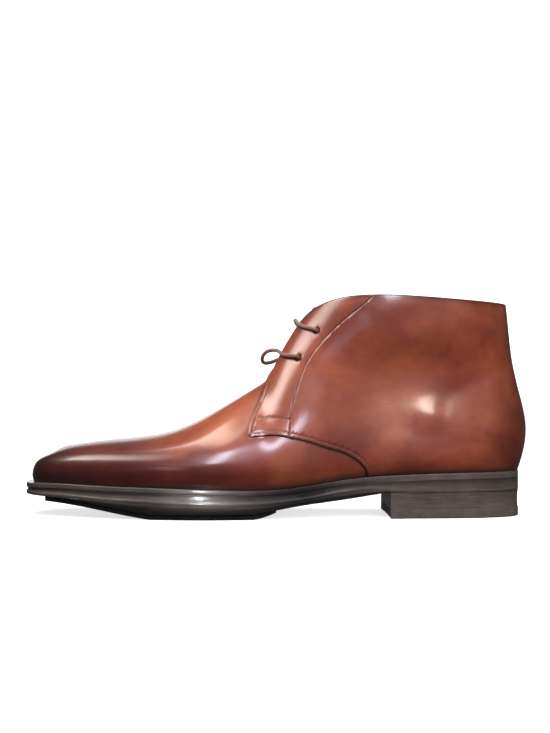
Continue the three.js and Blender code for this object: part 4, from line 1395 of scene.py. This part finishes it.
class Finish:
    """A material built from nodes around one principled shader"""

    def __init__(self, name, roughness, coat=0.0, coat_roughness=0.1, specular=0.5):
        self.material = bpy.data.materials.new(name)
        self.material.use_nodes = True
        self.tree = self.material.node_tree
        self.shader = self.tree.nodes["Principled BSDF"]
        self.shader.inputs["Roughness"].default_value = roughness
        self.shader.inputs["Coat Weight"].default_value = coat
        self.shader.inputs["Coat Roughness"].default_value = coat_roughness
        self.shader.inputs["Specular IOR Level"].default_value = specular
        self.place = self.node("ShaderNodeTexCoord").outputs["Object"]

    def node(self, kind, **settings):
        made = self.tree.nodes.new(kind)
        for key, value in settings.items():
            setattr(made, key, value)
        return made

    def link(self, source, target):
        self.tree.links.new(source, target)

    def feed(self, socket, value):
        if isinstance(value, bpy.types.NodeSocket):
            self.link(value, socket)
        else:
            socket.default_value = value

    def scaled(self, factors):
        """Object coordinates stretched along the axes"""
        mapping = self.node("ShaderNodeMapping")
        mapping.inputs["Scale"].default_value = factors
        self.link(self.place, mapping.inputs["Vector"])
        return mapping.outputs["Vector"]

    def noise(self, scale, detail=3.0, roughness=0.5, distortion=0.0, vector=None):
        noise = self.node("ShaderNodeTexNoise")
        self.link(vector or self.place, noise.inputs["Vector"])
        noise.inputs["Scale"].default_value = scale
        noise.inputs["Detail"].default_value = detail
        noise.inputs["Roughness"].default_value = roughness
        noise.inputs["Distortion"].default_value = distortion
        return noise.outputs["Fac"]

    def pores(self, scale):
        cells = self.node("ShaderNodeTexVoronoi", feature="SMOOTH_F1")
        self.link(self.place, cells.inputs["Vector"])
        cells.inputs["Scale"].default_value = scale
        return cells.outputs["Distance"]

    def mask(self, name):
        return self.node("ShaderNodeAttribute", attribute_name=name).outputs["Fac"]

    def ramp(self, value, low, high, start=0.0, end=1.0):
        spread = self.node("ShaderNodeMapRange", clamp=True)
        self.link(value, spread.inputs["Value"])
        for key, number in (("From Min", low), ("From Max", high), ("To Min", start), ("To Max", end)):
            spread.inputs[key].default_value = number
        return spread.outputs["Result"]

    def math(self, operation, first, second=0.0):
        made = self.node("ShaderNodeMath", operation=operation)
        self.feed(made.inputs[0], first)
        self.feed(made.inputs[1], second)
        return made.outputs["Value"]

    def mix(self, amount, first, second, blend="MIX"):
        made = self.node("ShaderNodeMix", data_type="RGBA", blend_type=blend)
        self.feed(made.inputs[0], amount)
        for socket, colour in ((made.inputs[6], first), (made.inputs[7], second)):
            if isinstance(colour, tuple):
                socket.default_value = (*colour, 1.0)
            else:
                self.link(colour, socket)
        return made.outputs[2]

    def colour(self, value):
        if isinstance(value, tuple):
            self.shader.inputs["Base Color"].default_value = (*value, 1.0)
        else:
            self.link(value, self.shader.inputs["Base Color"])

    def roughness(self, value):
        self.link(value, self.shader.inputs["Roughness"])

    def bump(self, height, distance, strength=1.0, coat=False):
        bump = self.node("ShaderNodeBump")
        bump.inputs["Strength"].default_value = strength
        bump.inputs["Distance"].default_value = distance
        self.link(height, bump.inputs["Height"])
        self.link(bump.outputs["Normal"], self.shader.inputs["Normal"])
        if coat:
            self.link(bump.outputs["Normal"], self.shader.inputs["Coat Normal"])


def burnished_leather():
    """Polished calf, mottled, with spots of painted light and shade, darker at toe, heel, seams and edges,
    and with painted shade along the join with the sole
    """
    f = Finish("burnished_calf", 0.32, coat=0.5, coat_roughness=0.14, specular=0.35)
    clouds = f.noise(26, 4, 0.55, 0.6)
    streaks = f.noise(18, 5, 0.6, 0.8, f.scaled((0.6, 1.0, 1.6)))
    fine = f.noise(150, 4, 0.6)
    # Warmth of the leather, with painted light and shade from the colour spots
    warmth_and_shade = f.math("ADD", f.math("MULTIPLY", clouds, 0.7), f.math("MULTIPLY", f.mask("warmth_and_shade"), 0.8))
    light = f.mix(f.ramp(warmth_and_shade, 0.6, 1.0), LEATHER_RED, LEATHER_ORANGE)
    light = f.mix(f.ramp(warmth_and_shade, 0.38, 0.7, 0.9, 0.0), light, LEATHER_DEEP)
    light = f.mix(f.ramp(streaks, 0.46, 0.72, 0.0, 0.6), light, LEATHER_BROWN)
    light = f.mix(f.ramp(fine, 0.3, 0.7, 0.0, 0.22), light, LEATHER_DEEP)
    patch = f.math("ADD", f.mask("burnish"), f.ramp(f.noise(34, 3, 0.5), 0.3, 0.7, -0.22, 0.22))
    light = f.mix(f.ramp(patch, 0.12, 1.0, 0.0, 0.93), light, LEATHER_DARK)
    seam = f.math("MULTIPLY", f.mask("seam"), f.ramp(fine, 0.2, 0.8, 0.65, 0.95))
    light = f.mix(seam, light, LEATHER_SEAM_AND_SHADE)
    # Painted shade along the join with the sole, in the seam colour
    welt_join_shade = f.math("MULTIPLY", f.mask("welt_join_shade"), 0.9)
    f.colour(f.mix(welt_join_shade, light, LEATHER_SEAM_AND_SHADE))
    f.roughness(f.ramp(f.noise(60, 4, 0.6), 0.3, 0.7, 0.28, 0.38))
    grain = f.math("ADD", f.pores(1500), f.math("MULTIPLY", f.noise(700, 3, 0.6), 0.8))
    broad = f.math("MULTIPLY", f.noise(70, 3, 0.55), 3.0)
    f.bump(f.math("ADD", grain, broad), 0.00005, 0.35, coat=True)
    return f.material


def cut_edge():
    f = Finish("dyed_leather_edge", 0.55, specular=0.4)
    f.colour(f.mix(f.ramp(f.noise(400, 3), 0.3, 0.7), (0.028, 0.012, 0.008), (0.055, 0.024, 0.015)))
    f.bump(f.noise(1600, 3, 0.7), 0.00008, 0.6)
    return f.material


def lining_leather():
    f = Finish("lining_calf", 0.6, specular=0.35)
    tone = f.mix(f.ramp(f.noise(45, 4, 0.6), 0.3, 0.7), (0.33, 0.19, 0.1), (0.42, 0.26, 0.15))
    f.colour(f.mix(f.ramp(f.noise(600, 3), 0.4, 0.75, 0, 0.4), tone, (0.24, 0.13, 0.07)))
    f.bump(f.math("ADD", f.pores(900), f.noise(500, 4, 0.6)), 0.0001, 0.5)
    return f.material


def tongue_leather():
    f = Finish("tongue_calf", 0.45, coat=0.2, coat_roughness=0.25, specular=0.4)
    tone = f.mix(f.ramp(f.noise(40, 4, 0.6), 0.3, 0.7), (0.075, 0.026, 0.016), (0.13, 0.045, 0.026))
    f.colour(f.mix(f.ramp(f.noise(260, 3), 0.4, 0.7, 0, 0.4), tone, (0.04, 0.015, 0.01)))
    f.bump(f.math("ADD", f.pores(1100), f.noise(500, 4, 0.6)), 0.00009, 0.5)
    return f.material


def insole_leather():
    f = Finish("insole_board_leather", 0.7, specular=0.3)
    tone = f.mix(f.ramp(f.noise(30, 5, 0.6), 0.3, 0.7), (0.37, 0.22, 0.12), (0.46, 0.3, 0.18))
    f.colour(f.mix(f.ramp(f.noise(900, 2), 0.5, 0.8, 0, 0.35), tone, (0.22, 0.12, 0.06)))
    f.bump(f.noise(1200, 4, 0.65), 0.00012, 0.5)
    return f.material


def waxed_edge():
    """Inked and waxed sole leather: faint layers along the edge, slightly scuffed, with painted shade on
    the underside, at the waist and below the welt
    """
    f = Finish("waxed_sole_edge", 0.4, coat=0.5, coat_roughness=0.1, specular=0.35)
    clouds = f.noise(40, 5, 0.6)
    layers = f.noise(60, 4, 0.6, 0.0, f.scaled((1.0, 1.0, 14.0)))
    tone = f.mix(f.ramp(clouds, 0.32, 0.68), SOLE_DARK, SOLE_LIGHT)
    tone = f.mix(f.ramp(layers, 0.42, 0.7, 0.0, 0.45), tone, SOLE_WORN)
    tone = f.mix(f.ramp(f.noise(500, 3, 0.6), 0.5, 0.75, 0, 0.35), tone, SOLE_DARK)
    # Painted shade where the shade attribute is high
    f.colour(f.mix(f.mask("shade"), tone, SOLE_PAINTED_SHADE))
    f.roughness(f.ramp(f.noise(120, 4, 0.6), 0.3, 0.7, 0.32, 0.5))
    fibres = f.math("ADD", f.math("MULTIPLY", layers, 2.5), f.noise(900, 3, 0.6))
    f.bump(fibres, 0.00007, 0.5, coat=True)
    return f.material


def rubber(name, dark, light, roughness):
    f = Finish(name, roughness, specular=0.35)
    f.colour(f.mix(f.ramp(f.noise(120, 5, 0.65), 0.3, 0.7), dark, light))
    f.roughness(f.ramp(f.noise(300, 4, 0.6), 0.3, 0.7, roughness - 0.08, roughness + 0.12))
    f.bump(f.math("ADD", f.noise(1400, 4, 0.7), f.math("MULTIPLY", f.noise(180, 3), 2.0)), 0.00009, 0.5)
    return f.material


def waxed_thread():
    f = Finish("waxed_thread", 0.75, specular=0.2)
    f.colour(f.mix(f.ramp(f.noise(900, 2), 0.3, 0.7), (0.1, 0.05, 0.034), (0.2, 0.11, 0.075)))
    f.bump(f.noise(2600, 2, 0.6), 0.00006, 0.5)
    return f.material


def braided_lace():
    """Round lace: two sets of strands wind round it in opposite directions"""
    f = Finish("round_lace_braid", 0.62, specular=0.4)
    f.shader.inputs["Sheen Weight"].default_value = 0.15
    strands = 4
    angle = f.math("ARCTAN2", f.mask("ring_sin"), f.mask("ring_cos"))
    turn = f.math("MULTIPLY", angle, float(strands))
    run = f.math("MULTIPLY", f.mask("run"), 5.2)
    one = f.math("SINE", f.math("ADD", run, turn))
    other = f.math("SINE", f.math("SUBTRACT", run, turn))
    weave = f.math("MULTIPLY", one, other)
    tone = f.mix(f.ramp(weave, -1, 1), (0.05, 0.024, 0.016), (0.24, 0.125, 0.08))
    f.colour(f.mix(f.ramp(f.noise(700, 3), 0.35, 0.7, 0, 0.5), tone, (0.1, 0.048, 0.03)))
    f.bump(f.math("ADD", weave, f.math("MULTIPLY", f.noise(2600, 3), 0.6)), 0.00012, 0.8)
    return f.material


# The boot

leather_set = [burnished_leather(), cut_edge(), lining_leather()]
edge_finish = waxed_edge()
tread_finish = rubber("tread_rubber", (0.012, 0.011, 0.011), (0.03, 0.028, 0.027), 0.62)
lift_finish = rubber("lift_rubber", (0.05, 0.04, 0.035), (0.09, 0.075, 0.065), 0.5)

upper, outside = make_upper(leather_set)
make_tongue([tongue_leather(), cut_edge()])
make_insole(insole_leather())
sole_pieces = [make_welt(edge_finish), make_outsole(edge_finish)]
make_tread(tread_finish)
make_heel(edge_finish, lift_finish)
lace_finish = braided_lace()
make_bar("lace_lower_bar", LOWER_BAR, 0, lace_finish, "lace_lower")
make_bar("lace_upper_bar", UPPER_BAR, 1, lace_finish, "lace_upper")

stitch_lines = (inset_line(quarter_line, STITCH_INSET), facing_line, bar_line)
stitch_runs = []
for stitch_side in (-1, 1):
    for drawn in stitch_lines:
        stitch_runs.append(seam_places(drawn, stitch_side, outside, STITCH_PITCH))
stitch_points, stitch_faces = stitch_mesh(stitch_runs)
settle(make_object("seam_stitches", stitch_points, stitch_faces, waxed_thread()), "lace_cord")

# Studio: white floor and backdrop

FLOOR_HALF_WIDTH = 1.5
FLOOR_FRONT = -0.62
FLOOR_MIDDLE = 0.6
WALL_PLACE = 4.5
WALL_RISE = 1.6
FLOOR_GLOW = 0.7
WALL_GLOW = 1.1


def stage_plane(name, points, glow, mirrored=False, lights_up=True):
    """Pale sheet of the studio, which gives off a little light of its own"""
    mesh = bpy.data.meshes.new(name)
    mesh.from_pydata(points, [], [[0, 1, 2, 3]])
    f = Finish(name, 0.7, specular=0.2)
    f.colour(f.mix(f.ramp(f.noise(4, 2), 0.2, 0.8), (0.9, 0.9, 0.9), (0.92, 0.92, 0.92)))
    f.shader.inputs["Emission Color"].default_value = (1.0, 1.0, 1.0, 1.0)
    f.shader.inputs["Emission Strength"].default_value = glow
    mesh.materials.append(f.material)
    obj = bpy.data.objects.new(name, mesh)
    obj.visible_glossy = mirrored
    obj.visible_diffuse = lights_up
    bpy.context.scene.collection.objects.link(obj)


def make_stage():
    half = FLOOR_HALF_WIDTH

    def sheet(front, back, rise=0.0):
        return [(-half, front, 0), (half, front, 0), (half, back, rise), (-half, back, rise)]

    stage_plane("studio_floor", sheet(FLOOR_FRONT, FLOOR_MIDDLE), FLOOR_GLOW, lights_up=False)
    stage_plane("studio_floor_far", sheet(FLOOR_MIDDLE, WALL_PLACE), WALL_GLOW)
    stage_plane("studio_wall", sheet(WALL_PLACE, WALL_PLACE, WALL_RISE), WALL_GLOW, mirrored=True)


make_stage()

# Light: soft boxes at a reach from the place on the boot that mirrors them, some with a narrow beam

REACH_OF_LIGHT = 1.0
BOOT_CENTRE = (0.0, -0.03, 0.05)
HEEL_SHINE = (0.094, -0.033, 0.066)
FACING_SHINE = (0.0, -0.022, 0.081)
EDGE_SHINE = (-0.042, -0.047, 0.013)
FACING_REACH = 0.30
SHORT_REACH = 0.13
NARROW_BEAM = math.radians(36)
MIDDLE_BEAM = math.radians(56)


def toward(direction, reach=REACH_OF_LIGHT, centre=BOOT_CENTRE):
    """A place in a direction from the boot"""
    heading = Vector(direction).normalized()
    return Vector(centre) + heading * reach


def strip_light(name, start, end, width, radiance, colour, glossy=True, only=(), reach=REACH_OF_LIGHT,
                centre=BOOT_CENTRE, beam=math.pi):
    """Soft box between two directions seen from a place on the boot, as bright as its radiance"""
    first, last = toward(start, reach, centre), toward(end, reach, centre)
    width = width * reach
    middle = (first + last) / 2
    length = (last - first).length
    light = bpy.data.lights.new(name, "AREA")
    light.shape = "RECTANGLE"
    light.size, light.size_y = length, width
    light.energy = radiance * math.pi * length * width
    if beam < math.pi:
        light.spread = beam
        light.energy *= 1 - beam / 2 / math.tan(beam / 2)
    light.color = colour
    obj = bpy.data.objects.new(name, light)
    run = (last - first).normalized()
    back = (middle - Vector(centre)).normalized()
    side = back.cross(run).normalized()
    back = run.cross(side)
    obj.matrix_world = Matrix.Translation(middle) @ Matrix((run, side, back)).transposed().to_4x4()
    obj.visible_glossy = glossy
    obj.visible_camera = False
    bpy.context.scene.collection.objects.link(obj)
    if only:
        lit = bpy.data.collections.new(name + "_lit")
        for piece in only:
            lit.objects.link(piece)
        obj.light_linking.receiver_collection = lit


WARM = (1.0, 0.84, 0.72)
PINK = (1.0, 0.87, 0.8)
COOL = (0.8, 0.83, 1.0)
ICE = (0.95, 0.97, 1.0)
IVORY = (1.0, 0.98, 0.96)
CREAM = (1.0, 0.98, 0.95)
AIR = (0.9, 0.92, 1.0, 1.0)
AIR_GLOW = 0.07

strip_light("fill_above", (-1.2, 0.0, 1.2), (1.2, 0.0, 1.2), 1.3, 0.5, IVORY, glossy=False)
strip_light("ridge_streak", (-0.28, 0.40, 0.88), (-0.07, -0.06, 1.0), 0.12, 14.0, WARM)
strip_light("ball_streak", (-0.07, -0.80, 0.56), (0.0, -0.36, 0.93), 0.14, 28.0, COOL)
strip_light("facing_window", (-0.86, 0.14, 0.50), (-0.44, -0.32, 0.84), 0.52, 20.0, PINK,
            reach=FACING_REACH, centre=FACING_SHINE, beam=MIDDLE_BEAM)
strip_light("front_low", (-0.50, -0.62, 0.58), (-0.12, -0.90, 0.42), 0.05, 3.0, WARM)
strip_light("side_glow", (-0.42, -0.88, 0.10), (-0.47, -0.80, 0.42), 0.16, 2.6, COOL)
strip_light("heel_lamp", (-0.02, -0.94, 0.34), (0.27, -0.91, 0.33), 0.15, 44.0, WARM,
            reach=SHORT_REACH, centre=HEEL_SHINE, beam=NARROW_BEAM)
strip_light("front_veil", (-0.25, -0.95, 0.0), (0.60, -0.80, 0.0), 0.60, 0.22, COOL, only=[upper])
strip_light("side_fill", (0.15, -0.85, 0.42), (0.80, -0.60, 0.42), 0.60, 7.5, CREAM, glossy=False)
strip_light("edge_lamp", (-0.09, -0.99, 0.0), (-0.09, -0.93, 0.36), 0.10, 150.0, ICE,
            reach=SHORT_REACH, centre=EDGE_SHINE, beam=NARROW_BEAM, only=sole_pieces)

world = bpy.data.worlds.new("studio_air")
world.use_nodes = True
background = world.node_tree.nodes["Background"]
background.inputs["Color"].default_value = AIR
background.inputs["Strength"].default_value = AIR_GLOW
bpy.context.scene.world = world
bpy.context.scene.view_settings.view_transform = "Standard"

# Camera: level, at the photo's angle
EYE_HEIGHT = 92 * MM
EYE_DISTANCE = 880 * MM
FOCAL_LENGTH = 69.0
SENSOR_WIDTH = 36.0
NEAREST_SIGHT = 0.01
camera_data = bpy.data.cameras.new("camera")
camera_data.lens = FOCAL_LENGTH
camera_data.sensor_width = SENSOR_WIDTH
camera_data.clip_start = NEAREST_SIGHT
camera = bpy.data.objects.new("camera", camera_data)
camera.location = (float(SHIFT[0]), -EYE_DISTANCE, EYE_HEIGHT)
camera.rotation_euler = (math.pi / 2, 0, 0)
bpy.context.scene.collection.objects.link(camera)
bpy.context.scene.camera = camera
